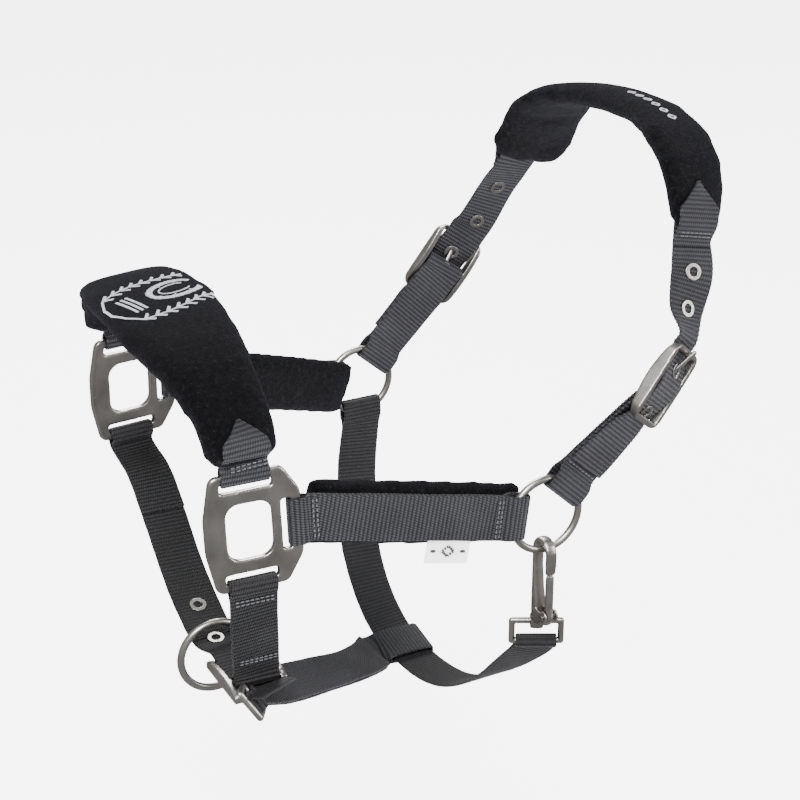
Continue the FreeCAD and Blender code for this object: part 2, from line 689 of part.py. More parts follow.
def cheek_strap(side, plate, plate_shape):
    pieces = [fold(plate.rear_fold_frame(), PLATE_FOLD, REAR_FOLD_STRAIGHT),
              ribbon(cheek_frames(side, plate), DOUBLE),
              ring_fold(ring_fold_frame(side, CHEEK_DEGREES), side)]
    return largest(joined(pieces).cut(plate_shape))


def cheek_pad(side, plate):
    """Fleece pad on the head side of the cheek strap."""
    frames = cheek_frames(side, plate)
    path = frames[0].origin, frames[-1].origin
    inward = -(WEB + SNUG + CHEEK_PAD_THICKNESS / 2)
    rear_extra = -0.7
    stations = []
    for share, extra in ((0.03, 0.0), (0.3, 0.0), (0.6, 0.0), (0.85, rear_extra), (1.08, 3 * rear_extra)):
        place = path[0] * (1 - share) + path[1] * share
        middle = frames[2] if share < 0.5 else frames[3]
        stations.append(Frame(place, path[1] - path[0], middle.out).moved(0, inward + extra))
    widths = [CHEEK_PAD_HEIGHT - 1.0, CHEEK_PAD_HEIGHT, CHEEK_PAD_HEIGHT, CHEEK_PAD_HEIGHT - 1.5,
              CHEEK_PAD_HEIGHT - 6.0]
    return pad_solid(stations, widths, CHEEK_PAD_THICKNESS)


LABEL_SIZE = (24.5, 13.5, 1.0)


def side_label(plate):
    """A folded label hanging from the lower edge of the near cheek strap."""
    frames = cheek_frames("near", plate)
    share = 0.75
    place = frames[0].origin * (1 - share) + frames[-1].origin * share
    frame = Frame(place, frames[-1].origin - frames[0].origin, frames[3].out)
    long, high, thick = LABEL_SIZE
    edge = -WEB_WIDTH / 2 - SNUG
    low = -WEB + 0.2
    corners = [(-long / 2, edge), (long / 2, edge), (long / 2, edge - high), (-long / 2, edge - high)]
    return slab([frame.at(a, low, b) for a, b in corners], frame.out * thick)


NOSE_START = 4.2               # degrees round the arch where the pad begins, near side
NOSE_END = 170.0
NOSE_STEPS = 12


def nose_frames():
    frames = []
    places = []
    shares = []
    for step in range(NOSE_STEPS + 1):
        degrees = NOSE_START + (NOSE_END - NOSE_START) * step / NOSE_STEPS
        angle = math.radians(degrees)
        across = math.copysign(abs(math.cos(angle)) ** (2 / NOSE_POWER), math.cos(angle))
        rise = math.sin(angle) ** (2 / NOSE_POWER)
        y = NOSE_MIDDLE.y - NOSE_HALF * across + NOSE_SKEW * rise
        z = NOSE_MIDDLE.z + NOSE_RISE * rise
        places.append(V(NOSE_MIDDLE.x + NOSE_TOP_SHIFT * rise ** 2, y, z))
        shares.append(rise)
    outs = [V(0, place.y - NOSE_MIDDLE.y, place.z - NOSE_MIDDLE.z + 20.0) for place in places]
    for frame, share in zip(frames_through(places, outs), shares):
        out = turned(frame.out, frame.along, -NOSE_TOP_ROLL * share)
        along = turned(frame.along, out, NOSE_YAW * share ** 3)
        frames.append(Frame(frame.origin, along, out))
    widths = [NOSE_WIDTH[0] + (NOSE_WIDTH[1] - NOSE_WIDTH[0]) * share ** NOSE_FLARE for share in shares]
    return frames, widths


def nose_band(plates, shapes):
    frames, widths = nose_frames()
    pieces = []
    for side in SIDES:
        pieces.append(fold(plates[side].top_fold_frame(), PLATE_FOLD, END_FOLD_STRAIGHT))
    start = fold_end(plates["near"].top_fold_frame(), END_FOLD_STRAIGHT)
    end = turned_back(fold_end(plates["far"].top_fold_frame(), END_FOLD_STRAIGHT))
    inner = frames[1:-1]
    pieces.append(ribbon([start] + inner + [end], WEB))
    strap = joined(pieces).cut(shapes["near"]).cut(shapes["far"])
    cover, foam = cover_and_foam(frames, widths, NOSE_THICKNESS, strap)
    backwards = [turned_back(frame) for frame in reversed(frames)]
    tabs = [pointed_tab(path, NOSE_THICKNESS, NOSE_TAB).cut(cover).cut(strap) for path in (frames, backwards)]
    return largest(strap), cover, foam, tabs


def chin_frame():
    return Frame(CHIN_BAR, Y_AXIS, Z_AXIS * -1)


def chin_buckle():
    """A buckle whose front rail ends in a slanting link for the connecting strap."""
    frame = chin_frame()
    inner = BUCKLE_INNER / 2
    near_reach = CHIN_BAR.y - LINK_ROD[0].y
    front = lens_rail(frame, -inner - RAIL, -inner, near_reach, CHIN_REACH)
    back = lens_rail(frame, inner, inner + RAIL, BAR_RADIUS, CHIN_REACH)
    high, low = LINK_ROD
    link = wire_path([high, low, low + LINK_STEP, high + LINK_STEP], BAR_RADIUS, True)
    bars = [bar(frame, 0, 0), bar(frame, CHIN_REACH, BUCKLE_STEP)]
    return joined([front, back, link] + bars)


def near_chin_strap(plate, plate_shape, buckle_shape):
    top = plate.bottom_fold_frame()
    start = fold_end(top, END_FOLD_STRAIGHT)
    rise = start.origin - CHIN_BAR
    low_fold = Frame(CHIN_BAR, V(0, rise.y, rise.z), V(0, -1, 0))
    end = turned_back(fold_end(low_fold, CENTRE_FOLD_STRAIGHT))
    frames = [start]
    for share in (0.3, 0.7):
        place = start.origin * (1 - share) + end.origin * share
        frames.append(Frame(place, end.origin - start.origin, start.out * (1 - share) + end.out * share))
    pieces = [fold(top, PLATE_FOLD, END_FOLD_STRAIGHT), ribbon(frames + [end], DOUBLE),
              fold(low_fold, CENTRE_FOLD, CENTRE_FOLD_STRAIGHT)]
    strap = joined(pieces).cut(prong_eye_space(chin_frame())).cut(prong_space(chin_frame(), CHIN_REACH))
    return largest(strap.cut(plate_shape).cut(buckle_shape))


def far_chin_frames():
    """The single layer of the far chin strap: down from its stitching, through the buckle."""
    frame = chin_frame()
    places = list(CHIN_FAR)
    outs = list(CHIN_FAR_OUT)
    inside = [(CHIN_REACH + 7.0, BEHIND_BAR - 0.4, 0.0), (CHIN_REACH, BEHIND_BAR, 0.0), (2.0, OVER_BAR, 0.0),
              (-2.0, OVER_BAR, 0.5), (-7.0, OVER_BAR - 3.0, 2.5), (-13.0, OVER_BAR - 6.0, 6.0)]
    for a, c, b in inside:
        places.append(frame.at(a, c, b))
        outs.append(frame.out)
    return frames_through(places, outs)


CHIN_EYELETS = (3, 4)


def far_chin_strap(plate, plate_shape, buckle_shape):
    top = plate.bottom_fold_frame()
    start = fold_end(top, END_FOLD_STRAIGHT)
    frames = far_chin_frames()
    pieces = [fold(top, PLATE_FOLD, END_FOLD_STRAIGHT), ribbon([start, frames[0]], DOUBLE),
              ribbon(frames[:len(CHIN_FAR)], WEB), ribbon(frames[len(CHIN_FAR) - 1:], WEB, False)]
    space = prong_space(chin_frame(), CHIN_REACH)
    strap = joined(pieces)
    grommets = [frames[index] for index in CHIN_EYELETS]
    grommets.append(prong_eyelet_frame(chin_frame(), CHIN_REACH))
    for frame in grommets:
        strap = strap.cut(eyelet_hole(frame))
    eyelets = eyelets_of(grommets, [space, buckle_shape])
    lead_room = ring_space(LEAD_RING, Y_AXIS, LEAD_OUTER, LEAD_WIRE + 2 * GAP)
    strap = strap.cut(eyelets).cut(lead_room).cut(space)
    return largest(strap.cut(plate_shape).cut(buckle_shape)), eyelets


def throat_frames():
    outs = [V(0, place.y, place.z + 190.0) for place in THROAT]
    outs[-1] = outs[-1] + V(-THROAT_TURN, 0, 0)
    return frames_through(THROAT, outs)


EYE_FOLD_STRAIGHT = 0.4
EYE_FOLD_WIDTH = 22.4          # gathered to pass through the eye


def throat_strap():
    """From the far ring, under the jaw, to the eye of the snap."""
    ring_frame = ring_fold_frame("far", -90.0)
    start = fold_end(ring_frame, RING_FOLD_STRAIGHT)
    frames = throat_frames()
    down = square_to(frames[-1].origin - EYE_BOTTOM, EYE_AXIS)
    eye_fold = Frame(EYE_BOTTOM, down, EYE_AXIS.cross(down))
    end = turned_back(fold_end(eye_fold, EYE_FOLD_STRAIGHT))
    widths = [WEB_WIDTH] * len(frames) + [EYE_FOLD_WIDTH]
    pieces = [ring_fold(ring_frame, "far"), ribbon([start, frames[0]], DOUBLE),
              ribbon(frames + [end], WEB, True, widths),
              fold(eye_fold, EYE_WIRE / 2 + GAP, EYE_FOLD_STRAIGHT, EYE_FOLD_WIDTH)]
    return largest(joined(pieces))


def loop_frame():
    """Where the connecting strap is folded round the throat strap."""
    frames = throat_frames()
    for start, end in zip(frames, frames[1:]):
        if start.origin.y >= LINK_LOOP_Y > end.origin.y:
            share = (start.origin.y - LINK_LOOP_Y) / (start.origin.y - end.origin.y)
            place = start.origin * (1 - share) + end.origin * share
            out = start.out * (1 - share) + end.out * share
            square = Frame(place, end.origin - start.origin, out)
            return Frame(place + X_AXIS * (WEB_WIDTH / 2 - WEB / 2), X_AXIS * -1, square.out)
    return None


def connecting_strap(throat_shape, buckle_shape):
    """Doubled strap from the slanting bar of the chin buckle to a loop on the throat strap."""
    bar_line = LINK_ROD[1] - LINK_ROD[0]
    middle = LINK_ROD[0] * 0.4 + LINK_ROD[1] * 0.6 + LINK_STEP
    leave = square_to(LINK_STRAP[0] - middle, bar_line)
    bar_fold = Frame(middle, leave, leave.cross(bar_line))
    start = fold_end(bar_fold, CENTRE_FOLD_STRAIGHT)
    loop = loop_frame()
    loop_straight = WEB_WIDTH + 0.2
    end = turned_back(fold_end(loop, loop_straight))
    places = [start.origin] + LINK_STRAP + [end.origin]
    wides = [bar_line] + LINK_WIDE + [end.across]
    frames = []
    for index in range(1, len(places) - 1):
        along = places[index + 1] - places[index - 1]
        frames.append(Frame(places[index], along, unit(along).cross(wides[index])))
    widths = [LINK_FOLD_WIDTH, WEB_WIDTH - 1.0] + [WEB_WIDTH] * (len(frames))
    gathered = fold(bar_fold, CENTRE_FOLD, CENTRE_FOLD_STRAIGHT, LINK_FOLD_WIDTH)
    pieces = [gathered, ribbon([start] + frames + [end], DOUBLE, True, widths),
              fold(loop, WEB / 2 + 0.4, loop_straight)]
    strap = joined(pieces).cut(throat_shape).cut(buckle_shape)
    return largest(strap.cut(prong_eye_space(chin_frame())).cut(prong_space(chin_frame(), CHIN_REACH)))


# ---- snap hook ------------------------------------------------------------------------------------
HOOK_GAP = 5.1                 # inner radius of the hook
HOOK_METAL = 3.4
HOOK_WIDTH = 6.4
SPINE_WIDTH = 8.4
HOOK_CENTRE = V(SNAP_X, -109.2, -200.3)
NOSE_TIP_Z = -211.5
GATE_PIVOT = V(SNAP_X, -115.6, -236.5)
FOOT_Z = -245.0
GATE_METAL = 3.4


def block(y_low, y_high, z_low, z_high, width):
    return Part.makeBox(width, y_high - y_low, z_high - z_low, V(SNAP_X - width / 2, y_low, z_low))


def snap_body():
    """Hook, spine and foot of the snap, with a rounded hook and a boss for the eye."""
    y, z = HOOK_CENTRE.y, HOOK_CENTRE.z
    outer = HOOK_GAP + HOOK_METAL
    left = V(SNAP_X - HOOK_WIDTH / 2, y, z)
    arch = Part.makeCylinder(outer, HOOK_WIDTH, left, X_AXIS)
    arch = arch.cut(Part.makeCylinder(HOOK_GAP, HOOK_WIDTH, left, X_AXIS))
    arch = arch.cut(block(y - 2 * outer, y + 2 * outer, z - 2 * outer, z, HOOK_WIDTH))
    nose = block(y - outer, y - HOOK_GAP, NOSE_TIP_Z, z, HOOK_WIDTH)
    spine = block(y + HOOK_GAP, y + outer, FOOT_Z, z, SPINE_WIDTH)
    foot = block(y - outer + 1.0, y + outer, FOOT_Z, GATE_PIVOT.z - 3.2, SPINE_WIDTH)
    eye_room = EYE_WIRE / 2 + GAP
    boss = Part.makeCylinder(eye_room + 2.4, SPINE_WIDTH,
                             V(SNAP_X - SPINE_WIDTH / 2, EYE_TOP.y, EYE_TOP.z), X_AXIS)
    body = joined([arch, nose, spine, foot, boss] + snap_cheeks())
    reach = EYE_AXIS * SPINE_WIDTH
    bore = rod(EYE_TOP - reach, EYE_TOP + reach, eye_room)
    gate_room = Part.makeCylinder(3.0 + GAP, GATE_WIDTH + 2 * GAP,
                                  V(SNAP_X - GATE_WIDTH / 2 - GAP, GATE_PIVOT.y, GATE_PIVOT.z), X_AXIS)
    return largest(body.cut(bore).cut(gate_room))


GATE_WIDTH = 4.8
CHEEK_THICKNESS = 1.5
CHEEK_ROUND = 3.4
CHEEK_HEIGHT = 7.0
CHEEK_DROP = 5.5               # the side plates reach this far below the pin
RIVET_Z = -229.0
RIVET_SIZE = (1.9, 1.4)        # head radius and height
PIN_RADIUS = 1.2


def snap_cheeks():
    """The two side plates that carry the gate's pin."""
    plates = []
    for x in (SNAP_X - SPINE_WIDTH / 2, SNAP_X + SPINE_WIDTH / 2 - CHEEK_THICKNESS):
        disc = Part.makeCylinder(CHEEK_ROUND, CHEEK_THICKNESS, V(x, GATE_PIVOT.y, GATE_PIVOT.z), X_AXIS)
        back = HOOK_CENTRE.y + HOOK_GAP + HOOK_METAL - GATE_PIVOT.y
        web = Part.makeBox(CHEEK_THICKNESS, back, CHEEK_HEIGHT,
                           V(x, GATE_PIVOT.y, GATE_PIVOT.z - CHEEK_DROP))
        plates.append(disc.fuse(web))
    return plates


def snap_pin():
    """Pin that the gate turns on."""
    return Part.makeCylinder(PIN_RADIUS, SPINE_WIDTH + 1.2,
                             V(SNAP_X - SPINE_WIDTH / 2 - 0.6, GATE_PIVOT.y, GATE_PIVOT.z), X_AXIS)


def snap_rivet():
    """Rivet through the spine, above the foot."""
    y = HOOK_CENTRE.y + HOOK_GAP + HOOK_METAL
    return Part.makeCylinder(RIVET_SIZE[0], RIVET_SIZE[1], V(SNAP_X, y, RIVET_Z), Y_AXIS)


def snap_gate():
    """A bar from the pivot pin up to the hook's nose; it opens inwards."""
    y = GATE_PIVOT.y
    hub = Part.makeCylinder(3.0, GATE_WIDTH, V(SNAP_X - GATE_WIDTH / 2, y, GATE_PIVOT.z), X_AXIS)
    leaf = block(y - 1.4, y - 1.4 + GATE_METAL, GATE_PIVOT.z, NOSE_TIP_Z - GAP, GATE_WIDTH)
    bore = Part.makeCylinder(PIN_RADIUS + GAP, 2 * HOOK_WIDTH, V(SNAP_X - HOOK_WIDTH, y, GATE_PIVOT.z), X_AXIS)
    return joined([hub, leaf]).cut(bore)


def snap_eye():
    """Rectangular wire eye that joins the snap to the throat strap."""
    half = EYE_AXIS * (EYE_SPAN / 2)
    corners = [EYE_TOP - half, EYE_TOP + half, EYE_BOTTOM + half, EYE_BOTTOM - half]
    return wire_path(corners, EYE_WIRE / 2, True)


def muzzle():
    parts = {}
    plates = {side: Plate(side) for side in SIDES}
    shapes = {side: plates[side].solid() for side in SIDES}
    buckle = chin_buckle()
    strap, cover, foam, tabs = nose_band(plates, shapes)
    parts["nose_strap"] = strap
    parts["nose_pad"] = cover
    parts["nose_pad_foam"] = foam
    for side, tab in zip(SIDES, tabs):
        parts[side + "_nose_tab"] = tab
        parts[side + "_cheek_plate"] = shapes[side]
        parts[side + "_cheek_strap"] = cheek_strap(side, plates[side], shapes[side])
        parts[side + "_cheek_pad"] = largest(cheek_pad(side, plates[side]).cut(parts[side + "_cheek_strap"]))
    parts["side_label"] = side_label(plates["near"])
    parts["near_cheek_pad"] = largest(parts["near_cheek_pad"].cut(parts["side_label"]))
    parts["chin_buckle"] = buckle
    parts["chin_buckle_prong"] = prong(chin_frame(), CHIN_REACH)
    parts["near_chin_strap"] = near_chin_strap(plates["near"], shapes["near"], buckle)
    parts["far_chin_strap"], parts["chin_eyelets"] = far_chin_strap(plates["far"], shapes["far"], buckle)
    parts["near_chin_strap"] = largest(parts["near_chin_strap"].cut(parts["far_chin_strap"])
                                       .cut(parts["chin_eyelets"]))
    parts["lead_ring"] = ring(LEAD_RING, Y_AXIS, LEAD_OUTER, LEAD_WIRE)
    parts["throat_strap"] = throat_strap()
    connecting = connecting_strap(parts["throat_strap"], buckle)
    for name in ("far_chin_strap", "near_chin_strap", "chin_eyelets"):
        connecting = connecting.cut(parts[name])
    parts["connecting_strap"] = largest(connecting)
    parts["snap_eye"] = snap_eye()
    parts["snap_body"] = snap_body().cut(snap_pin()).cut(snap_rivet())
    parts["snap_pin"] = snap_pin()
    parts["snap_rivet"] = snap_rivet()
    parts["snap_gate"] = snap_gate()
    return parts


def export(parts):
    os.makedirs("parts", exist_ok=True)
    for name, shape in sorted(parts.items()):
        shape.exportStep("parts/" + name + ".step")


export({**headpiece(), **muzzle()})
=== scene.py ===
"""A headcollar of ribbed grey webbing with black fleece pads and satin nickel fittings."""
import math
import random
import bpy
import numpy as np
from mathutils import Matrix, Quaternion, Vector
from mathutils.bvhtree import BVHTree


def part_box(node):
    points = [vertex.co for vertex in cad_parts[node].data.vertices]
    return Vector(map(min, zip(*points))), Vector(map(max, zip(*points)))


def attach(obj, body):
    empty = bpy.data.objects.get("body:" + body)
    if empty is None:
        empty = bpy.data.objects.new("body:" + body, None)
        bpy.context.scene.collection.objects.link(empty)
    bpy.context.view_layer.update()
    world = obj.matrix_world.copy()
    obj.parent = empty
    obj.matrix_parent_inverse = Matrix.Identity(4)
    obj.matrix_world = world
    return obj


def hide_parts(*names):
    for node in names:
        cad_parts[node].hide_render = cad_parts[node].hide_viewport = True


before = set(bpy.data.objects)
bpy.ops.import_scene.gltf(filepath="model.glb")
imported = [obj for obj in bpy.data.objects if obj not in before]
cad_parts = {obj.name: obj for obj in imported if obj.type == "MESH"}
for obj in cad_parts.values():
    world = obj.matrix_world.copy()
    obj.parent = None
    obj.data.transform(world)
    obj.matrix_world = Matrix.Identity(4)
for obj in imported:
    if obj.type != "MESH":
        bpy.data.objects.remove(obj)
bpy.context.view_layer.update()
random.seed(7)

# Places are in millimetres in the frame's axes; meshes are made in metres.
MM = 0.001
X_AXIS = Vector((1, 0, 0))
Y_AXIS = Vector((0, 1, 0))
Z_AXIS = Vector((0, 0, 1))


def mm(x, y, z):
    return Vector((x, y, z))


WEB_WIDTH = 25.0
WEB = 2.0                 # one layer of webbing
LAYER = 1.9               # shown thickness of a layer
RIB = 2.3                 # from rib to rib
RIB_DEPTH = 0.42
RING_RADIUS = 20.25       # to the middle of the wire
RING_WIRE = 2.0
BAR_RADIUS = 1.9
GAP = 0.3
TAPER = 5.0
STITCH = 0.34             # radius of a stitch
SIDES = ("near", "far")
RING = {"near": mm(-107.5, -109, -178), "far": mm(-111, 111.5, -185)}
RING_AXIS = (RING["far"] - RING["near"]).normalized()
BUCKLE = {"near": mm(-46, -118.5, -111), "far": mm(-51, 114.7, -120.7)}
BUCKLE_TILT = {"near": 0.0, "far": -7.0}
BUCKLE_OUT = {"near": mm(0.30, -0.90, -0.30), "far": mm(0.12, 0.97, -0.12)}
BUCKLE_REACH = 21.0
STRAP_LEAN = 9.5          # degrees between a buckle and its ring strap
CROWN_ROUTE = {
    "near": [(mm(-25.1, -108.2, -76.6), mm(0.0, -0.97, -0.22)),
             (mm(-17.6, -100.8, -59.7), mm(-0.12, -0.97, 0.12))],
    "far": [(mm(-32.8, 107.1, -91.8), mm(0.14, 0.97, 0.1)), (mm(-23.6, 98.4, -68.9), mm(0.07, 0.94, 0.34))],
}
CROWN_TAIL = {"near": 60.0, "far": 55.0}
# Poll pad, near end to far end: middle x, y, z, width, and how far its face turns back.
POLL_PAD = [(-14.0, -93.5, -44.0, 31.0, 6.0), (-10.5, -88.5, -27.0, 39.0, 6.0),
            (-7.0, -78.5, -10.5, 44.0, 4.0), (-3.0, -58.0, 1.5, 47.0, 0.0),
            (1.5, -30.0, 7.0, 44.0, 0.0), (0.0, 0.0, 6.5, 42.0, 0.0), (-2.0, 28.0, 3.5, 46.0, 0.0),
            (-5.0, 52.0, -3.0, 54.0, 0.0), (-6.0, 68.0, -14.0, 60.0, 0.0),
            (-7.0, 79.0, -32.0, 61.0, 0.0), (-12.5, 86.0, -53.0, 55.0, 0.0)]
STRAP_IN_PAD = {9: 3.0, 10: 7.0}
POLL_ROLL = 7.0
POLL_THICK = 13.0
NOSE_MIDDLE = mm(-272, -9.5, -126)
NOSE_HALF, NOSE_RISE, NOSE_POWER, NOSE_SKEW = 90.5, 60.0, 2.25, 9.0
NOSE_START, NOSE_END = 4.2, 170.0
NOSE_WIDTH = (43.0, 71.0)
NOSE_THICK = 14.5
CHEEK_THICK = 10.5
CHIN_BAR = mm(-266.5, -88, -246)
CHIN_REACH = 26.0
EYE_TOP = mm(-107.3, -102.9, -245.5)
EYE_BOTTOM = mm(-107.3, -102.9, -258)
EYE_AXIS = mm(0.895, -0.446, 0).normalized()
THROAT = [mm(-114.5, 110.5, -246), mm(-119, 98, -284), mm(-120.5, 77, -311), mm(-119, 51.5, -329),
          mm(-116, 17.5, -334.5), mm(-114, -21.5, -326.5), mm(-111.5, -59, -303), mm(-109, -84, -280)]
CHIN_FAR = [mm(-267.5, 62, -193), mm(-267.5, 40, -208), mm(-268.5, 12, -227.5),
            mm(-269.5, -15, -240), mm(-270, -42, -246.5)]
CHIN_FAR_OUT = [mm(0, 0.62, -0.78), mm(0, 0.6, -0.8), mm(0, 0.5, -0.87), mm(0, 0.35, -0.94), mm(0, 0.12, -1)]
LINK_ROD = (mm(-279.5, -99, -246.5), mm(-271.3, -105, -259.4))
LINK_STEP = mm(3.9, 5.8, 0.4)
LINK_STRAP = [mm(-249, -75, -263.4), mm(-211, -45, -283), mm(-175.5, -15, -302.5), mm(-152, 14, -319)]
LINK_WIDE = [mm(0.53, -0.65, -0.55), mm(0.55, -0.70, -0.45), mm(0.53, -0.80, -0.30), mm(0.35, -0.90, -0.24)]
LINK_LOOP_Y = 37.0


def rounder(value, power):
    """A sine or cosine pushed outwards or inwards, as the sides of a superellipse are."""
    return math.copysign(abs(value) ** power, value)


# ---- places on straps ----
class Place:
    """A point of a strap with the directions along it, out of its face and across it."""

    def __init__(self, origin, along, out):
        self.origin = origin.copy()
        self.along = along.normalized()
        self.out = (out - self.along * out.dot(self.along)).normalized()
        self.across = self.out.cross(self.along)

    def at(self, a, c, b=0.0):
        return self.origin + self.along * a + self.out * c + self.across * b

    def moved(self, a, c=0.0, b=0.0):
        return Place(self.at(a, c, b), self.along, self.out)

    def back(self):
        return Place(self.origin, -self.along, self.out)


def mixed(start, end, share):
    return Place(start.origin.lerp(end.origin, share), start.along.lerp(end.along, share),
                 start.out.lerp(end.out, share))


def spread(start, end, shares):
    """Places on the straight line between two others, at the given shares of it."""
    line = end.origin - start.origin
    return [Place(start.origin.lerp(end.origin, share), line, start.out.lerp(end.out, share))
            for share in shares]


def turned(vector, axis, degrees):
    return Quaternion(axis, math.radians(degrees)) @ vector


def through(points, outs):
    """Places at the points, each looking along the line that joins its neighbours."""
    last = len(points) - 1
    return [Place(point, points[min(i + 1, last)] - points[max(i - 1, 0)], out)
            for i, (point, out) in enumerate(zip(points, outs))]


def ring_place(side, degrees):
    """Where a strap's loop sits on a cheek ring, seen from the side."""
    angle = math.radians(degrees)
    ray = mm(math.cos(angle), 0, math.sin(angle))
    ray = (ray - RING_AXIS * ray.dot(RING_AXIS)).normalized()
    chord = math.sqrt(RING_RADIUS ** 2 - (WEB_WIDTH / 2) ** 2)
    return Place(RING[side] + ray * chord, ray, RING_AXIS if side == "far" else -RING_AXIS)


RING_STRAIGHT = 22.25 + 2 * GAP - math.sqrt(RING_RADIUS ** 2 - (WEB_WIDTH / 2) ** 2)
RING_LOOP = RING_WIRE + GAP
BAR_LOOP = BAR_RADIUS + 0.15
BAR_STRAIGHT = 0.5


def round_bar(place, radius, straight, narrow=1.0):
    """One layer's centre line round a bar, from its inner face to its outer face."""
    turn = radius + WEB / 2
    points = [place.at(straight + TAPER, -WEB / 2), place.at(straight, -turn)]
    for step in range(9):
        angle = math.pi * step / 8
        points.append(place.at(-turn * math.sin(angle), -turn * math.cos(angle)))
    points += [place.at(straight, turn), place.at(straight + TAPER, WEB / 2)]
    return [(point, place.across, narrow) for point in points]


def leaving(point, loop):
    """The loop, begun at whichever end lies nearer to the point."""
    return loop if (loop[0][0] - point).length <= (loop[-1][0] - point).length else loop[::-1]


def layer(places, side):
    """The centre line of one layer of a doubled strap: side 1 outside, -1 inside, 0 alone."""
    return [(place.at(0, side * WEB / 2), place.across, 1.0) for place in places]


def both_layers(start_loop, places, end_loop):
    """A closed band: round the first bar, along the outside, round the last bar, and back."""
    return start_loop + layer(places, 1) + end_loop[::-1] + layer(places[::-1], -1)


def tucked(run):
    """The sewn-down end of a single strap, behind its first two places."""
    return [(place.at(0, -WEB), place.across, 1.0) for place in (run[1], run[0])]


# ---- meshes ----
def new_object(name, vertices, faces, smooth=True):
    mesh = bpy.data.meshes.new(name)
    mesh.from_pydata([tuple(v) for v in vertices], [], faces)
    mesh.validate()
    mesh.update()
    piece = bpy.data.objects.new(name, mesh)
    bpy.context.scene.collection.objects.link(piece)
    mesh.polygons.foreach_set("use_smooth", [smooth] * len(mesh.polygons))
    return piece


def grid(first, rows, columns, joined):
    """Quads between rows of points whose columns close on themselves; joined rows close too."""
    faces = []
    for i in range(rows if joined else rows - 1):
        low, high = first + i * columns, first + (i + 1) % rows * columns
        for k in range(columns):
            m = (k + 1) % columns
            faces.append((low + k, low + m, high + m, high + k))
    return faces


def capped(first, rows, columns):
    """A tube's quads with a flat face at each end."""
    last = first + (rows - 1) * columns
    ends = [tuple(range(first + columns - 1, first - 1, -1)), tuple(last + k for k in range(columns))]
    return grid(first, rows, columns, False) + ends


def settle(piece, body, slot, material, *nodes):
    """Gives a finished mesh its material and the body and CAD nodes it stands for."""
    piece.data.materials.clear()
    piece.data.materials.append(material)
    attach(piece, body)
    if nodes:
        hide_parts(*nodes)
    return piece


def between(t, start, end, first, second):
    """The value at t on the straight run from first at start to second at end."""
    return (end - t) / (end - start) * first + (t - start) / (end - start) * second


def rounded_line(path, closed, fine=0.5):
    """A smooth curve through (point, across, width share), as dense arrays."""
    rows = [[*point, *across, share] for point, across, share in path]
    data = np.array(rows, float)
    for i in range(1, len(data)):
        if data[i, 3:6] @ data[i - 1, 3:6] < 0:
            data[i, 3:6] *= -1
    keep = [0]
    for i in range(1, len(data)):
        if np.linalg.norm(data[i, :3] - data[keep[-1], :3]) > 0.3:
            keep.append(i)
    data = data[keep]
    if closed:
        if np.linalg.norm(data[0, :3] - data[-1, :3]) < 0.3:
            data = data[:-1]
        data = np.vstack([data[-1:], data, data[:2]])
    else:
        first = 2 * data[0] - data[1]
        last = 2 * data[-1] - data[-2]
        data = np.vstack([first, data, last])
    knots = np.concatenate([[0], np.cumsum(np.linalg.norm(np.diff(data[:, :3], axis=0), axis=1) ** 0.5)])
    dense = []
    for i in range(1, len(data) - 2):
        t0, t1, t2, t3 = knots[i - 1:i + 3]
        count = max(2, int(np.linalg.norm(data[i + 1, :3] - data[i, :3]) / fine))
        t = np.linspace(t1, t2, count, endpoint=False)[:, None]
        p0, p1, p2, p3 = data[i - 1:i + 3]
        middle = between(t, t1, t2, p1, p2)
        low = between(t, t0, t2, between(t, t0, t1, p0, p1), middle)
        high = between(t, t1, t3, middle, between(t, t2, t3, p2, p3))
        dense.append(between(t, t1, t2, low, high))
    return np.vstack(dense + ([] if closed else [data[-2:-1]]))


def evenly(line, closed, count_per_rib=8):
    """The line cut into equal steps, a whole number to each rib."""
    if closed:
        line = np.vstack([line, line[:1]])
    lengths = np.concatenate([[0], np.cumsum(np.linalg.norm(np.diff(line[:, :3], axis=0), axis=1))])
    ribs = max(2, round(lengths[-1] / RIB))
    steps = np.linspace(0, lengths[-1], ribs * count_per_rib + 1)
    if closed:
        steps = steps[:-1]
    spaced = np.stack([np.interp(steps, lengths, line[:, k]) for k in range(line.shape[1])], 1)
    return spaced, steps


# Half of a strap's outline: share of the half width, less millimetres, and share of thickness.
EDGE_OUTLINE = [(1.0, 0.0, 0.0), (1.0, 0.12, 0.55), (1.0, 0.45, 0.88), (1.0, 1.0, 1.0), (0.72, 0.0, 1.0),
                (0.36, 0.0, 1.0), (0.0, 0.0, 1.0)]


def outline(width):
    """(b, c share, rib share) round a strap's section."""
    quarter = [(width / 2 * share - less, deep) for share, less, deep in EDGE_OUTLINE]
    top = quarter + [(-b, c) for b, c in quarter[-2::-1]]
    bottom = [(b, -c) for b, c in reversed(top[1:-1])]
    return top + bottom


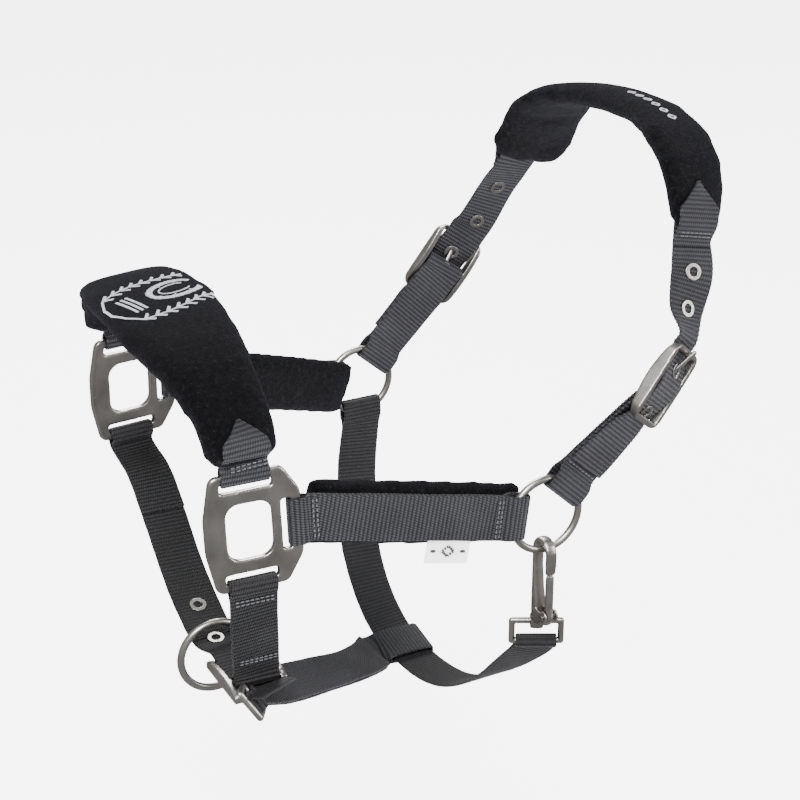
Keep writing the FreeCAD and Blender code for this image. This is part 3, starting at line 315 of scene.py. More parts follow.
def webbing(name, path, closed=False, width=WEB_WIDTH, thick=LAYER):
    """A band of ribbed webbing along a path of (point, across, width share)."""
    line, steps = evenly(rounded_line(path, closed), closed)
    points = line[:, :3]
    if closed:
        along = np.roll(points, -1, 0) - np.roll(points, 1, 0)
    else:
        along = np.gradient(points, axis=0)
    along /= np.linalg.norm(along, axis=1)[:, None]
    across = line[:, 3:6] - along * np.sum(line[:, 3:6] * along, 1)[:, None]
    across /= np.linalg.norm(across, axis=1)[:, None]
    normal = np.cross(across, along)
    loop = outline(width)
    ring = len(loop)
    rib = 0.5 + 0.5 * np.cos(2 * np.pi * steps / RIB)
    vertices = []
    for i in range(len(points)):
        half = thick / 2 - RIB_DEPTH * rib[i]
        wobble = 0.12 * math.sin(steps[i] / 9.0) + 0.05 * math.sin(steps[i] / 2.3)
        for b, c in loop:
            side = b * line[i, 6] + (wobble if b > 0 else -wobble * 0.6) * min(1.0, abs(b) / 9)
            vertices.append((points[i] + across[i] * side + normal[i] * c * half) * MM)
    rows = len(points)
    faces = grid(0, rows, ring, True) if closed else capped(0, rows, ring)
    piece = new_object(name, vertices, faces)
    uv = piece.data.uv_layers.new(name="UVMap")
    across_uv = [b / 10.0 for b, _ in loop]
    data = np.zeros((len(piece.data.loops), 2), np.float32)
    for index, corner in enumerate(piece.data.loops):
        row, column = divmod(corner.vertex_index, ring)
        data[index] = (steps[row] / 10.0, across_uv[column])
    uv.data.foreach_set("uv", data.ravel())
    return piece


def strap(name, body, node, path, closed=False, material=None):
    """A finished strap that stands for a CAD node."""
    return settle(webbing(name, path, closed), body, "webbing", material or WEBBING, node)


def thread_mesh(name, threads, radius):
    """Short stitches, each a plump capsule from start to end."""
    vertices, faces = [], []
    sides = 6
    for start, end in threads:
        along = (end - start).normalized()
        side = along.orthogonal().normalized()
        other = along.cross(side)
        base = len(vertices)
        for share, fat in ((0.0, 0.35), (0.18, 0.95), (0.5, 1.1), (0.82, 0.95), (1.0, 0.35)):
            middle = start.lerp(end, share)
            for k in range(sides):
                angle = 2 * math.pi * k / sides
                offset = side * math.cos(angle) + other * math.sin(angle)
                vertices.append((middle + offset * radius * fat) * MM)
        faces += capped(base, 5, sides)
    return new_object(name, vertices, faces)


def stitch_line(place, b_from, b_to, lift, pitch=2.6, a=0.0):
    """Stitches across a strap's face at one place, as (start, end) pairs."""
    count = max(1, int(abs(b_to - b_from) / pitch))
    made = []
    for k in range(count):
        b = b_from + (b_to - b_from) * (k + 0.5) / count
        half = 0.36 * (b_to - b_from) / count
        made.append((place.at(a, lift, b - half), place.at(a, lift, b + half)))
    return made


def sew(name, body, threads):
    """Sews grey stitches through webbing."""
    return settle(thread_mesh(name, threads, STITCH), body, "webbing", GREY_THREAD)


# ---- materials ----
class Graph:
    """Short calls for building a material's nodes."""

    def __init__(self, name):
        self.material = bpy.data.materials.new(name)
        self.material.use_nodes = True
        self.tree = self.material.node_tree
        self.shader = self.tree.nodes["Principled BSDF"]

    def add(self, kind, **inputs):
        node = self.tree.nodes.new(kind)
        for key, value in inputs.items():
            numbered = key[0] == "i" and key[1:].isdigit()
            self.feed(node.inputs[int(key[1:]) if numbered else key], value)
        return node

    def feed(self, socket, value):
        if isinstance(value, bpy.types.NodeSocket):
            self.tree.links.new(value, socket)
        else:
            socket.default_value = value

    def math(self, operation, first, second=0.0):
        node = self.add("ShaderNodeMath", i0=first, i1=second)
        node.operation = operation
        return node.outputs[0]

    def times(self, first, second):
        return self.math("MULTIPLY", first, second)

    def plus(self, first, second):
        return self.math("ADD", first, second)

    def noise(self, scale, detail=3.0, vector=None, rough=0.5):
        node = self.add("ShaderNodeTexNoise", Scale=scale, Detail=detail, Roughness=rough)
        if vector is not None:
            self.tree.links.new(vector, node.inputs["Vector"])
        return node.outputs["Fac"]

    def ramp(self, factor, stops):
        node = self.add("ShaderNodeValToRGB", Fac=factor)
        while len(node.color_ramp.elements) < len(stops):
            node.color_ramp.elements.new(0.5)
        for element, (place, colour) in zip(node.color_ramp.elements, stops):
            element.position = place
            element.color = (*colour, 1.0)
        return node.outputs["Color"]

    def bump(self, height, strength, distance):
        node = self.add("ShaderNodeBump", Height=height, Strength=strength, Distance=distance)
        return node.outputs["Normal"]

    def surface(self, **inputs):
        for key, value in inputs.items():
            self.feed(self.shader.inputs[key.replace("_", " ")], value)
        return self.material


def webbing_material(name, light):
    """Grey nylon: ribs across the strap, each made of short slanting floats of yarn; the colour is lighter
    on each yarn's crest as a painted highlight and darker in the valleys between ribs as painted shade.
    """
    g = Graph(name)
    uv = g.add("ShaderNodeTexCoord").outputs["UV"]
    split = g.add("ShaderNodeSeparateXYZ", Vector=uv)
    along, across = split.outputs["X"], split.outputs["Y"]
    rib = g.times(along, 10.0 / RIB)
    row = g.math("FLOOR", g.plus(rib, 0.5))
    odd = g.times(g.math("MODULO", row, 2.0), 0.5)
    slant = g.times(g.math("FRACT", g.plus(rib, 0.5)), 0.55)
    yarn = g.plus(g.times(across, 7.5), g.plus(odd, slant))
    yarn_crest = g.math("ABSOLUTE", g.math("SINE", g.times(yarn, math.pi)))
    rib_valley_shade = g.math("ABSOLUTE", g.math("COSINE", g.times(rib, math.pi)))
    place = g.add("ShaderNodeTexCoord").outputs["Object"]
    fuzz = g.noise(2600.0, 2.0, place)
    patch = g.noise(35.0, 3.0, place)
    height = g.plus(g.times(yarn_crest, 0.75), g.times(fuzz, 0.35))
    normal = g.bump(height, 0.75, 0.0003)
    # Colour: painted highlight on each yarn's crest and painted shade in the rib valleys; the patches and
    # fuzz are the webbing's own uneven tone.
    tone_and_painted_light = g.plus(g.times(yarn_crest, 0.34), g.times(patch, 0.30))
    tone_and_painted_light = g.math("SUBTRACT", tone_and_painted_light, g.times(g.math("POWER", rib_valley_shade, 3.0), 0.30))
    tone_and_painted_light = g.plus(tone_and_painted_light, g.times(fuzz, 0.2))
    stops = [(0.0, 0.035), (0.30, 0.19), (0.75, 1.0)]
    colour = g.ramp(tone_and_painted_light, [(at, tuple(channel * share for channel in light)) for at, share in stops])
    rough = g.plus(g.times(fuzz, 0.25), 0.5)
    return g.surface(Base_Color=colour, Roughness=rough, Normal=normal, Sheen_Weight=0.06,
                     Sheen_Roughness=0.4, Specular_IOR_Level=0.3)


def fleece_material():
    """Short black fleece, felted and slightly blue where light grazes it."""
    g = Graph("black_fleece")
    place = g.add("ShaderNodeTexCoord").outputs["Object"]
    fibres = g.noise(1300.0, 6.0, place, 0.8)
    clumps = g.noise(420.0, 4.0, place, 0.7)
    height = g.plus(g.times(fibres, 0.7), g.times(clumps, 0.5))
    normal = g.bump(height, 1.0, 0.0014)
    colour = g.ramp(g.plus(g.times(fibres, 0.6), g.times(clumps, 0.4)),
                    [(0.42, (0.0004, 0.0004, 0.0005)), (0.55, (0.003, 0.003, 0.0034)),
                     (0.70, (0.026, 0.025, 0.024))])
    return g.surface(Base_Color=colour, Roughness=0.93, Normal=normal, Sheen_Weight=0.05,
                     Sheen_Roughness=0.5, Sheen_Tint=(0.5, 0.5, 0.6, 1.0), Specular_IOR_Level=0.05)


def nickel_material():
    """Satin nickel plate with fine brushing, small dents of tarnish, a painted highlight along its convex
    edges and darker colour in its hollows.
    """
    g = Graph("satin_nickel")
    place = g.add("ShaderNodeTexCoord").outputs["Object"]
    stretch = g.add("ShaderNodeMapping", Vector=place)
    stretch.inputs["Scale"].default_value = (3.0, 1.0, 0.25)
    brush = g.noise(900.0, 3.0, stretch.outputs["Vector"])
    cloud = g.noise(60.0, 4.0, place)
    grain = g.noise(1800.0, 2.0, place)
    edges = g.add("ShaderNodeNewGeometry").outputs["Pointiness"]
    # Painted highlight: from the mesh's pointiness the colour is made lighter along convex edges and darker
    # in hollows.
    painted_edge_highlight = g.ramp(edges, [(0.44, (0.0, 0.0, 0.0)), (0.56, (1.0, 1.0, 1.0))])
    tarnish_and_edge_highlight = g.plus(g.times(cloud, 0.5), g.times(painted_edge_highlight, 0.35))
    colour = g.ramp(tarnish_and_edge_highlight, [(0.15, (0.17, 0.162, 0.15)), (0.45, (0.40, 0.385, 0.36)),
                           (0.8, (0.64, 0.62, 0.585))])
    rough = g.plus(g.times(brush, 0.16), g.times(cloud, 0.22))
    rough = g.plus(rough, 0.16)
    height = g.plus(g.times(brush, 0.5), g.times(grain, 0.5))
    return g.surface(Base_Color=colour, Metallic=1.0, Roughness=rough, Normal=g.bump(height, 0.14, 0.0002))


def thread_material(name, light, dark):
    g = Graph(name)
    place = g.add("ShaderNodeTexCoord").outputs["Object"]
    twist = g.noise(2400.0, 2.0, place)
    colour = g.ramp(twist, [(0.3, dark), (0.7, light)])
    return g.surface(Base_Color=colour, Roughness=0.55, Normal=g.bump(twist, 0.5, 0.0002), Sheen_Weight=0.3)


def label_material():
    """White woven tape with a fine grid of yarns."""
    g = Graph("woven_label")
    place = g.add("ShaderNodeTexCoord").outputs["Object"]
    split = g.add("ShaderNodeSeparateXYZ", Vector=place)
    warp = g.math("SINE", g.times(split.outputs["X"], 11000.0))
    weft = g.math("SINE", g.times(split.outputs["Z"], 11000.0))
    grid = g.times(warp, weft)
    dirt = g.noise(120.0, 3.0, place)
    colour = g.ramp(dirt, [(0.3, (0.80, 0.80, 0.80)), (0.65, (0.95, 0.95, 0.95))])
    return g.surface(Base_Color=colour, Roughness=0.75, Normal=g.bump(grid, 0.35, 0.0002))


WEBBING = webbing_material("ribbed_webbing", (0.042, 0.042, 0.050))
# A darker copy of the same webbing for the chin and throat straps: partly their darker inner face, partly
# painted shade where these straps lie in shadow.
DARK_AND_SHADED_WEBBING = webbing_material("dark_and_shaded_ribbed_webbing", (0.020, 0.020, 0.023))
FLEECE = fleece_material()
NICKEL = nickel_material()
GREY_THREAD = thread_material("grey_thread", (0.075, 0.075, 0.088), (0.02, 0.02, 0.025))
BLACK_THREAD = thread_material("black_thread", (0.02, 0.02, 0.022), (0.006, 0.006, 0.007))
PALE_THREAD = thread_material("pale_thread", (0.62, 0.62, 0.66), (0.34, 0.34, 0.38))
LABEL = label_material()


# ---- fittings ----
def modified(piece, kind, **values):
    modifier = piece.modifiers.new(kind.lower(), kind)
    for key, value in values.items():
        setattr(modifier, key, value)
    return modifier


def bake_modifiers(piece):
    """Applies every modifier of a piece to its mesh."""
    graph = bpy.context.evaluated_depsgraph_get()
    mesh = bpy.data.meshes.new_from_object(piece.evaluated_get(graph))
    piece.modifiers.clear()
    piece.data = mesh


def cast(node, body, grain, softening):
    """The CAD shape with the soft edges of a polished casting."""
    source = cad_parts[node]
    piece = bpy.data.objects.new(node + "_metal", source.data.copy())
    bpy.context.scene.collection.objects.link(piece)
    modified(piece, "REMESH", mode="VOXEL", voxel_size=grain * MM, use_smooth_shade=True)
    modified(piece, "SMOOTH", factor=0.5, iterations=softening)
    bake_modifiers(piece)
    return settle(piece, body, "nickel", NICKEL, node)


def hoop(centre, axis, around, sides, section, first=0):
    """A closed tube round an axis, whose section gives reach and rise at two angles."""
    side = axis.orthogonal().normalized()
    other = axis.cross(side)
    vertices = []
    for i in range(around):
        angle = 2 * math.pi * i / around
        ray = side * math.cos(angle) + other * math.sin(angle)
        for k in range(sides):
            reach, rise = section(angle, 2 * math.pi * k / sides)
            vertices.append((centre + ray * reach + axis * rise) * MM)
    return vertices, [face[::-1] for face in grid(first, around, sides, True)]


def ring_mesh(name, centre, axis, radius, wire, seam):
    """A welded wire ring with a slight swelling at its weld."""
    def section(angle, turn):
        bead = 0.10 * math.exp(-(((angle - seam) / 0.045) ** 2))
        swell = 1 + bead - 0.06 * math.exp(-(((angle - seam) / 0.10) ** 2))
        return radius + math.cos(turn) * wire * swell, math.sin(turn) * wire * swell
    return new_object(name, *hoop(centre, axis, 120, 20, section))


def metals():
    for side in SIDES:
        piece = ring_mesh(side + "_cheek_ring_wire", RING[side], RING_AXIS, RING_RADIUS, RING_WIRE, 2.2)
        settle(piece, side + "_ring", "nickel", NICKEL, side + "_cheek_ring")
        cast(side + "_crown_buckle", "headpiece", 0.4, 24)
        cast(side + "_buckle_prong", side + "_prong", 0.22, 3)
        cast(side + "_cheek_plate", "muzzle", 0.42, 40)
        cast(side + "_crown_eyelets", "headpiece", 0.18, 3)
    low, high = [corner * 1000 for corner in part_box("lead_ring")]
    middle = (low + high) / 2
    piece = ring_mesh("lead_ring_wire", middle, Y_AXIS, (high.x - low.x) / 2 - 2.1, 2.1, 4.0)
    settle(piece, "lead_ring", "nickel", NICKEL, "lead_ring")
    cast("chin_buckle", "muzzle", 0.4, 20)
    cast("chin_buckle_prong", "chin_prong", 0.22, 3)
    cast("chin_eyelets", "muzzle", 0.18, 3)
    cast("snap_eye", "snap_eye", 0.3, 8)
    cast("snap_pin", "snap", 0.2, 3)
    cast("snap_rivet", "snap", 0.2, 3)
    snap_hook()


# Each station of the snap: y, z, half width along X and half thickness in the plane of the hook.
SNAP_X = -107.3
HOOK_CENTRE = (-109.2, -200.3)
HOOK_RADIUS = 6.8
HOOK_HALF = (3.1, 1.75)
SPINE = [(-104.4, -247.6, 3.0, 1.6), (-104.6, -243.0, 3.8, 3.4), (-104.4, -236.0, 3.9, 3.5),
         (-103.2, -224.0, 3.4, 2.5), (-102.4, -211.0, 3.1, 1.75)]
NOSE_END_STATIONS = [(-115.9, -206.0, 3.1, 1.75), (-115.6, -210.2, 2.9, 1.65), (-115.5, -211.2, 2.3, 1.1)]
FOOT = [(-101.6, -242.6, 3.5, 1.6), (-106.0, -242.4, 3.9, 2.6), (-112.0, -241.8, 3.4, 1.5),
        (-115.0, -241.6, 2.2, 0.9)]
GATE = [(-115.6, -239.3, 2.0, 0.8), (-115.6, -238.4, 2.3, 2.2), (-115.6, -236.5, 2.35, 2.9),
        (-115.5, -234.3, 2.3, 2.2), (-115.3, -231.5, 2.3, 1.6), (-115.3, -214.0, 2.3, 1.6),
        (-115.3, -212.0, 2.0, 1.1)]
PIVOT = (-115.6, -236.5)
SIDE_WEB = [(-114.0, -237.4, 0.7, 2.6), (-109.0, -238.4, 0.7, 3.4), (-104.0, -238.6, 0.7, 3.6)]


def swept_bar(stations, vertices, faces, middle=SNAP_X):
    """A bar with softly squared sections through stations in the plane of the hook."""
    first, around = len(vertices), 24
    last = len(stations) - 1
    for i, (y, z, wide, deep) in enumerate(stations):
        before, after = stations[max(i - 1, 0)], stations[min(i + 1, last)]
        run = mm(0, after[0] - before[0], after[1] - before[1]).normalized()
        out = run.cross(X_AXIS)
        for k in range(around):
            angle = 2 * math.pi * k / around
            c, s = math.cos(angle), math.sin(angle)
            side = rounder(c, 0.75) * wide
            vertices.append((mm(middle + side, y, z) + out * rounder(s, 0.75) * deep) * MM)
    faces += capped(first, last + 1, around)


def collar(centre, axis, inner, outer, half, vertices, faces):
    """A rounded sleeve round an axis, for the eye's bar or the gate's pin."""
    def section(_, turn):
        bulge = rounder(math.cos(turn), 0.7) * (outer - inner) / 2
        return (inner + outer) / 2 + bulge, rounder(math.sin(turn), 0.5) * half
    more, quads = hoop(centre, axis, 36, 16, section, len(vertices))
    vertices += more
    faces += quads


def melted(name, vertices, faces, grain, softening):
    """Overlapping closed forms joined into one skin with soft inner corners."""
    piece = new_object(name, vertices, faces)
    modified(piece, "REMESH", mode="VOXEL", voxel_size=grain * MM, use_smooth_shade=True)
    modified(piece, "SMOOTH", factor=0.5, iterations=softening)
    bake_modifiers(piece)
    return piece


def snap_hook():
    """The snap's hook, spine and foot as one rounded casting, and its sprung gate."""
    y, z = HOOK_CENTRE
    arch = []
    for step in range(13):
        angle = math.pi * step / 12
        arch.append((y + HOOK_RADIUS * math.cos(angle), z + HOOK_RADIUS * math.sin(angle), *HOOK_HALF))
    vertices, faces = [], []
    swept_bar(SPINE + arch + NOSE_END_STATIONS, vertices, faces)
    swept_bar(FOOT, vertices, faces)
    collar(EYE_TOP, EYE_AXIS, 2.1, 4.5, 3.6, vertices, faces)
    for x in (SNAP_X - 3.45, SNAP_X + 3.45):
        collar(mm(x, *PIVOT), X_AXIS, 0.9, 3.4, 0.7, vertices, faces)
        swept_bar(SIDE_WEB, vertices, faces, x)
    piece = melted("snap_body_metal", vertices, faces, 0.3, 5)
    settle(piece, "snap", "nickel", NICKEL, "snap_body")
    vertices, faces = [], []
    swept_bar(GATE, vertices, faces)
    piece = melted("snap_gate_metal", vertices, faces, 0.25, 3)
    settle(piece, "snap_gate", "nickel", NICKEL, "snap_gate")


# ---- pads ----
ROUND_ENDS = ((0.0, 0.45, 0.30), (0.8, 0.66, 0.58), (2.4, 0.84, 0.84), (5.0, 0.95, 0.97))
CHEEK_ENDS = ((0.0, 0.78, 0.30), (0.6, 0.88, 0.58), (1.8, 0.96, 0.84), (4.0, 1.0, 0.97))


def pad_mesh(name, places, widths, thick, shrink, ends=ROUND_ENDS):
    """A pad as a closed tube of rounded sections, drawn in at both ends."""
    stations = []
    for reach, wide, deep in ends:
        stations.append((places[0].moved(reach + shrink), widths[0] * wide, thick * deep))
    dense = 4
    for i in range(len(places) - 1):
        for k in range(dense):
            share = k / dense
            if (i == 0 and k < 2) or (i == len(places) - 2 and k > 2):
                continue
            width = widths[i] * (1 - share) + widths[i + 1] * share
            stations.append((mixed(places[i], places[i + 1], share), width, thick))
    for reach, wide, deep in reversed(ends):
        stations.append((places[-1].moved(-reach - shrink), widths[-1] * wide, thick * deep))
    around = 40
    vertices, faces = [], []
    for place, width, deep in stations:
        for k in range(around):
            angle = 2 * math.pi * k / around
            c, s = math.cos(angle), math.sin(angle)
            b = rounder(c, 2 / 3.4) * (width / 2 - shrink)
            h = rounder(s, 2 / 2.5) * (deep / 2 - shrink)
            vertices.append(place.at(0, h, b) * MM)
    return new_object(name, vertices, capped(0, len(stations), around))


def puff(piece, voxel, cap, pressure=4.0):
    """Inflates a pad like stuffed cloth, with no point moving further than the cap."""
    modified(piece, "REMESH", mode="VOXEL", voxel_size=voxel * MM, use_smooth_shade=True)
    bake_modifiers(piece)
    rest = np.zeros(len(piece.data.vertices) * 3)
    piece.data.vertices.foreach_get("co", rest)
    cloth = modified(piece, "CLOTH")
    cloth.settings.use_pressure = True
    cloth.settings.uniform_pressure_force = pressure
    cloth.settings.effector_weights.gravity = 0.0
    cloth.settings.quality = 6
    cloth.point_cache.frame_end = 20
    for moment in range(1, 21):
        bpy.context.scene.frame_set(moment)
    bake_modifiers(piece)
    bpy.context.scene.frame_set(1)
    moved = np.zeros_like(rest)
    piece.data.vertices.foreach_get("co", moved)
    step = (moved - rest).reshape(-1, 3)
    far = np.linalg.norm(step, axis=1)
    step *= np.minimum(1.0, cap * MM / np.maximum(far, 1e-9))[:, None]
    piece.data.vertices.foreach_set("co", (rest.reshape(-1, 3) + step).ravel())
    piece.data.update()
    modified(piece, "SMOOTH", factor=0.5, iterations=3)
    modified(piece, "SUBSURF", levels=1, render_levels=1)
    bake_modifiers(piece)
    piece.data.polygons.foreach_set("use_smooth", [True] * len(piece.data.polygons))
    return piece


def poll_places():
    points = [mm(x, y, z) for x, y, z, _, _ in POLL_PAD]
    outs = [mm(turn, y, z + 75) for _, y, z, _, turn in POLL_PAD]
    rolled = []
    for place in through(points, outs):
        share = max(0.0, place.out.z)
        rolled.append(Place(place.origin, place.along, turned(place.out, place.along, POLL_ROLL * share)))
    return rolled


def nose_places():
    points, shares = [], []
    steps = 12
    for step in range(steps + 1):
        angle = math.radians(NOSE_START + (NOSE_END - NOSE_START) * step / steps)
        across = rounder(math.cos(angle), 2 / NOSE_POWER)
        rise = math.sin(angle) ** (2 / NOSE_POWER)
        points.append(NOSE_MIDDLE + mm(-8.5 * rise ** 2, NOSE_SKEW * rise - NOSE_HALF * across,
                                       NOSE_RISE * rise))
        shares.append(rise)
    outs = [mm(0, p.y - NOSE_MIDDLE.y, p.z - NOSE_MIDDLE.z + 20) for p in points]
    places = []
    for place, share in zip(through(points, outs), shares):
        out = turned(place.out, place.along, -3.0 * share)
        places.append(Place(place.origin, turned(place.along, out, 11.0 * share ** 3), out))
    widths = [NOSE_WIDTH[0] + (NOSE_WIDTH[1] - NOSE_WIDTH[0]) * share ** 3.5 for share in shares]
    return places, widths


# ---- the muzzle's plates ----
class Plate:
    """Where the slots of a cheek plate are: u runs back along it and v up it."""

    def __init__(self, side):
        tilt = -1 if side == "near" else 1
        self.along = mm(0.9974, 0.0685 * tilt, 0.0234).normalized()
        self.down = mm(0.0192, 0.0610 * tilt, -0.9980).normalized()
        normal = self.down.cross(self.along)
        self.out = normal if normal.y * tilt > 0 else -normal
        self.centre = mm(-272, -100.5, -153) if side == "near" else mm(-269.5, 81.5, -146)

    def at(self, u, v):
        return self.centre + self.along * u - self.down * v

    def top(self):
        return Place(self.at(-0.5, 29.05), -self.down, self.out)

    def bottom(self):
        return Place(self.at(-0.5, -29.05), self.down, self.out)

    def rear(self):
        return Place(self.at(23.85, 0), self.along, self.out)


PLATE_LOOP = 2.15
END_STRAIGHT = 31.5 - 27.0 - PLATE_LOOP + 0.2
REAR_STRAIGHT = 27.5 - 21.8 - PLATE_LOOP + 0.2


def pointed(places, start_index, reach, shift, thick):
    """Places of a pointed tab on the outside of a pad, from its edge to its tip."""
    outer = thick / 2 + WEB / 2 - 0.1
    walked = 0.0
    made = []
    previous = places[start_index]
    for place in places[start_index + 1:]:
        step = (place.origin - previous.origin).length
        count = max(1, int(step / 3))
        for k in range(count):
            a = walked + step * k / count
            if a > reach:
                return made
            made.append((mixed(previous, place, k / count).moved(0, outer, shift), a))
        walked += step
        previous = place
    return made


def tab_path(places, thick, shoulder, tip, shift, lead):
    """A strap end that climbs the pad's edge and ends in a point."""
    path = list(lead)
    for place, a in pointed(places, 0, tip, shift, thick):
        if a < 4.0:
            continue
        ease = min(1.0, (a - 1.0) / 7.0)
        lowered = place.moved(0, -(1 - ease ** 0.6) * thick * 0.42)
        share = 1.0 if a < shoulder else max(0.07, 1 - (a - shoulder) / (tip - shoulder))
        path.append((lowered.origin, lowered.across, share))
    return path


# ---- headpiece ----
def buckle_places(side):
    """The ring strap at the buckle's middle bar, and the buckle itself, which leans off it."""
    spot = BUCKLE[side]
    square = Place(spot, spot - RING[side], BUCKLE_OUT[side])
    web = Place(spot, turned(square.along, square.out, BUCKLE_TILT[side]), square.out)
    lean = math.radians(STRAP_LEAN)
    along = web.along * math.cos(lean) - web.out * math.sin(lean)
    out = web.out * math.cos(lean) + web.along * math.sin(lean)
    return web, Place(spot, along, out)


RING_DEGREES = {"near": 47.0, "far": 49.0}
CHEEK_DEGREES = 171.4


def ring_strap_places(side):
    web, _ = buckle_places(side)
    lower = ring_place(side, RING_DEGREES[side]).moved(RING_STRAIGHT + TAPER)
    top_loop = Place(web.origin, -web.along, web.out)
    upper = Place(top_loop.at(BAR_STRAIGHT + TAPER, 0), web.along, web.out)
    return [mixed(lower, upper, k / 5) for k in range(6)], top_loop


OVER_BAR = BAR_LOOP + WEB + 0.1 + WEB / 2
BEHIND_BAR = -0.35


def crown_side(side):
    """The crown strap from its tail, through the buckle and up to the pad."""
    places, _ = ring_strap_places(side)
    web, buckle = buckle_places(side)
    shift = places[0].origin - web.origin
    lying = WEB + WEB / 2 + 0.15
    tail = Place(web.origin + shift * (CROWN_TAIL[side] / shift.length), places[0].along, places[1].out)
    rows = [tail.moved(0, lying)]
    for place in places[:-1]:
        if BUCKLE_REACH + 6 < (web.origin - place.origin).length < CROWN_TAIL[side]:
            rows.append(place.moved(0, lying))
    points = [row.origin for row in rows]
    outs = [row.out for row in rows]
    for a, c in ((-BUCKLE_REACH, BEHIND_BAR), (-2, OVER_BAR), (2, OVER_BAR), (BUCKLE_REACH, BEHIND_BAR),
                 (BUCKLE_REACH + 7, BEHIND_BAR - 0.3)):
        points.append(buckle.at(a, c))
        outs.append(buckle.out)
    for spot, out in CROWN_ROUTE[side]:
        points.append(spot)
        outs.append(out)
    end = poll_places()[0 if side == "near" else -1]
    return through(points + [end.origin], outs + [end.out])[:-1]


def ring_straps():
    for side in SIDES:
        places, top_loop = ring_strap_places(side)
        path = both_layers(round_bar(ring_place(side, RING_DEGREES[side]), RING_LOOP, RING_STRAIGHT), places,
                           round_bar(top_loop, BAR_LOOP, BAR_STRAIGHT))
        strap(side + "_ring_webbing", "headpiece", side + "_ring_strap", path, closed=True)
        threads = []
        for row in (2.0, 5.0):
            threads += stitch_line(places[0], -10.5, 10.5, WEB + 0.05, a=row)
        sew(side + "_ring_strap_stitches", "headpiece", threads)


def crown():
    near, far = crown_side("near"), crown_side("far")
    inside = [place.moved(0, 0, STRAP_IN_PAD.get(i, 0.0)) for i, place in enumerate(poll_places())]
    path = layer(near + inside + [place.back() for place in far[::-1]], 0)
    strap("crown_webbing", "headpiece", "crown_strap", path)
    pads = poll_places()
    widths = [row[3] for row in POLL_PAD]
    pad = puff(pad_mesh("poll_fleece", pads, widths, POLL_THICK, 1.0), 4.5, 1.6)
    settle(pad, "headpiece", "fleece", FLEECE, "poll_pad", "poll_pad_foam")
    surface = BVHTree.FromObject(pad, bpy.context.evaluated_depsgraph_get())
    backward = [place.back() for place in pads[::-1]]
    for side, places, shift, lead in (("near", pads, 1.5, pads[:1]), ("far", backward, -7.0, backward[:1])):
        start = [(place.at(a, WEB + 0.1, shift), place.across, 1.0) for place in lead for a in (-4.0, -1.0)]
        path = tab_path(places, POLL_THICK, 15.0, 28.0, shift, start)
        strap(side + "_crown_tab_webbing", "headpiece", side + "_crown_tab", path)
        threads = []
        for row in (0.0, 1.8):
            edge = places[0].moved(1.0 + row, POLL_THICK * 0.26 + 0.4 * row, shift)
            threads += stitch_line(edge, -10, 10, 1.2)
        sew(side + "_crown_tab_stitches", "headpiece", threads)
    return surface


# ---- muzzle ----
def cheek_places(side, plate):
    front = plate.rear().moved(REAR_STRAIGHT + TAPER)
    back = ring_place(side, CHEEK_DEGREES).moved(RING_STRAIGHT + TAPER).back()
    return [front, *spread(front, back, (0.15, 0.4, 0.65, 0.88)), back]


def cheeks(plates):
    for side in SIDES:
        places = cheek_places(side, plates[side])
        path = both_layers(round_bar(plates[side].rear(), PLATE_LOOP, REAR_STRAIGHT), places,
                           round_bar(ring_place(side, CHEEK_DEGREES), RING_LOOP, RING_STRAIGHT))
        strap(side + "_cheek_webbing", "muzzle", side + "_cheek_strap", path, closed=True)
        threads = []
        for place, step in ((places[0], 1), (places[-1], -1)):
            for row in (0.5, 2.6):
                threads += stitch_line(place, -10.8, 10.8, WEB + 0.05, a=step * row)
        sew(side + "_cheek_stitches", "muzzle", threads)
        start, end = places[0].origin, places[-1].origin
        rows = []
        inward = -(WEB + 0.1 + CHEEK_THICK / 2)
        for share, extra in ((-0.03, -0.3), (0.3, 0), (0.6, 0), (0.85, -0.7), (1.14, -2.4)):
            middle = places[2] if share < 0.5 else places[3]
            rows.append(Place(start.lerp(end, share), end - start, middle.out).moved(0, inward + extra))
        pad = pad_mesh(side + "_cheek_fleece", rows, [38, 39, 39, 38, 35], CHEEK_THICK, 0.5, CHEEK_ENDS)
        puff(pad, 3.2, 1.0)
        settle(pad, "muzzle", "fleece", FLEECE, side + "_cheek_pad")


LABEL_LENGTH, LABEL_TOP, LABEL_DROP = 24.4, -12.3, 13.4
LABEL_COLUMNS, LABEL_ROWS = 12, 8


def label_section(ripple):
    """(b, c) down the label's outer face and up its inner face; the ripple grows to its edge."""
    outer = []
    for j in range(LABEL_ROWS + 1):
        share = j / LABEL_ROWS
        outer.append((LABEL_TOP - LABEL_DROP * share, -0.8 + 0.25 * ripple * share))
    return outer + [(b, c - 0.9) for b, c in reversed(outer)]


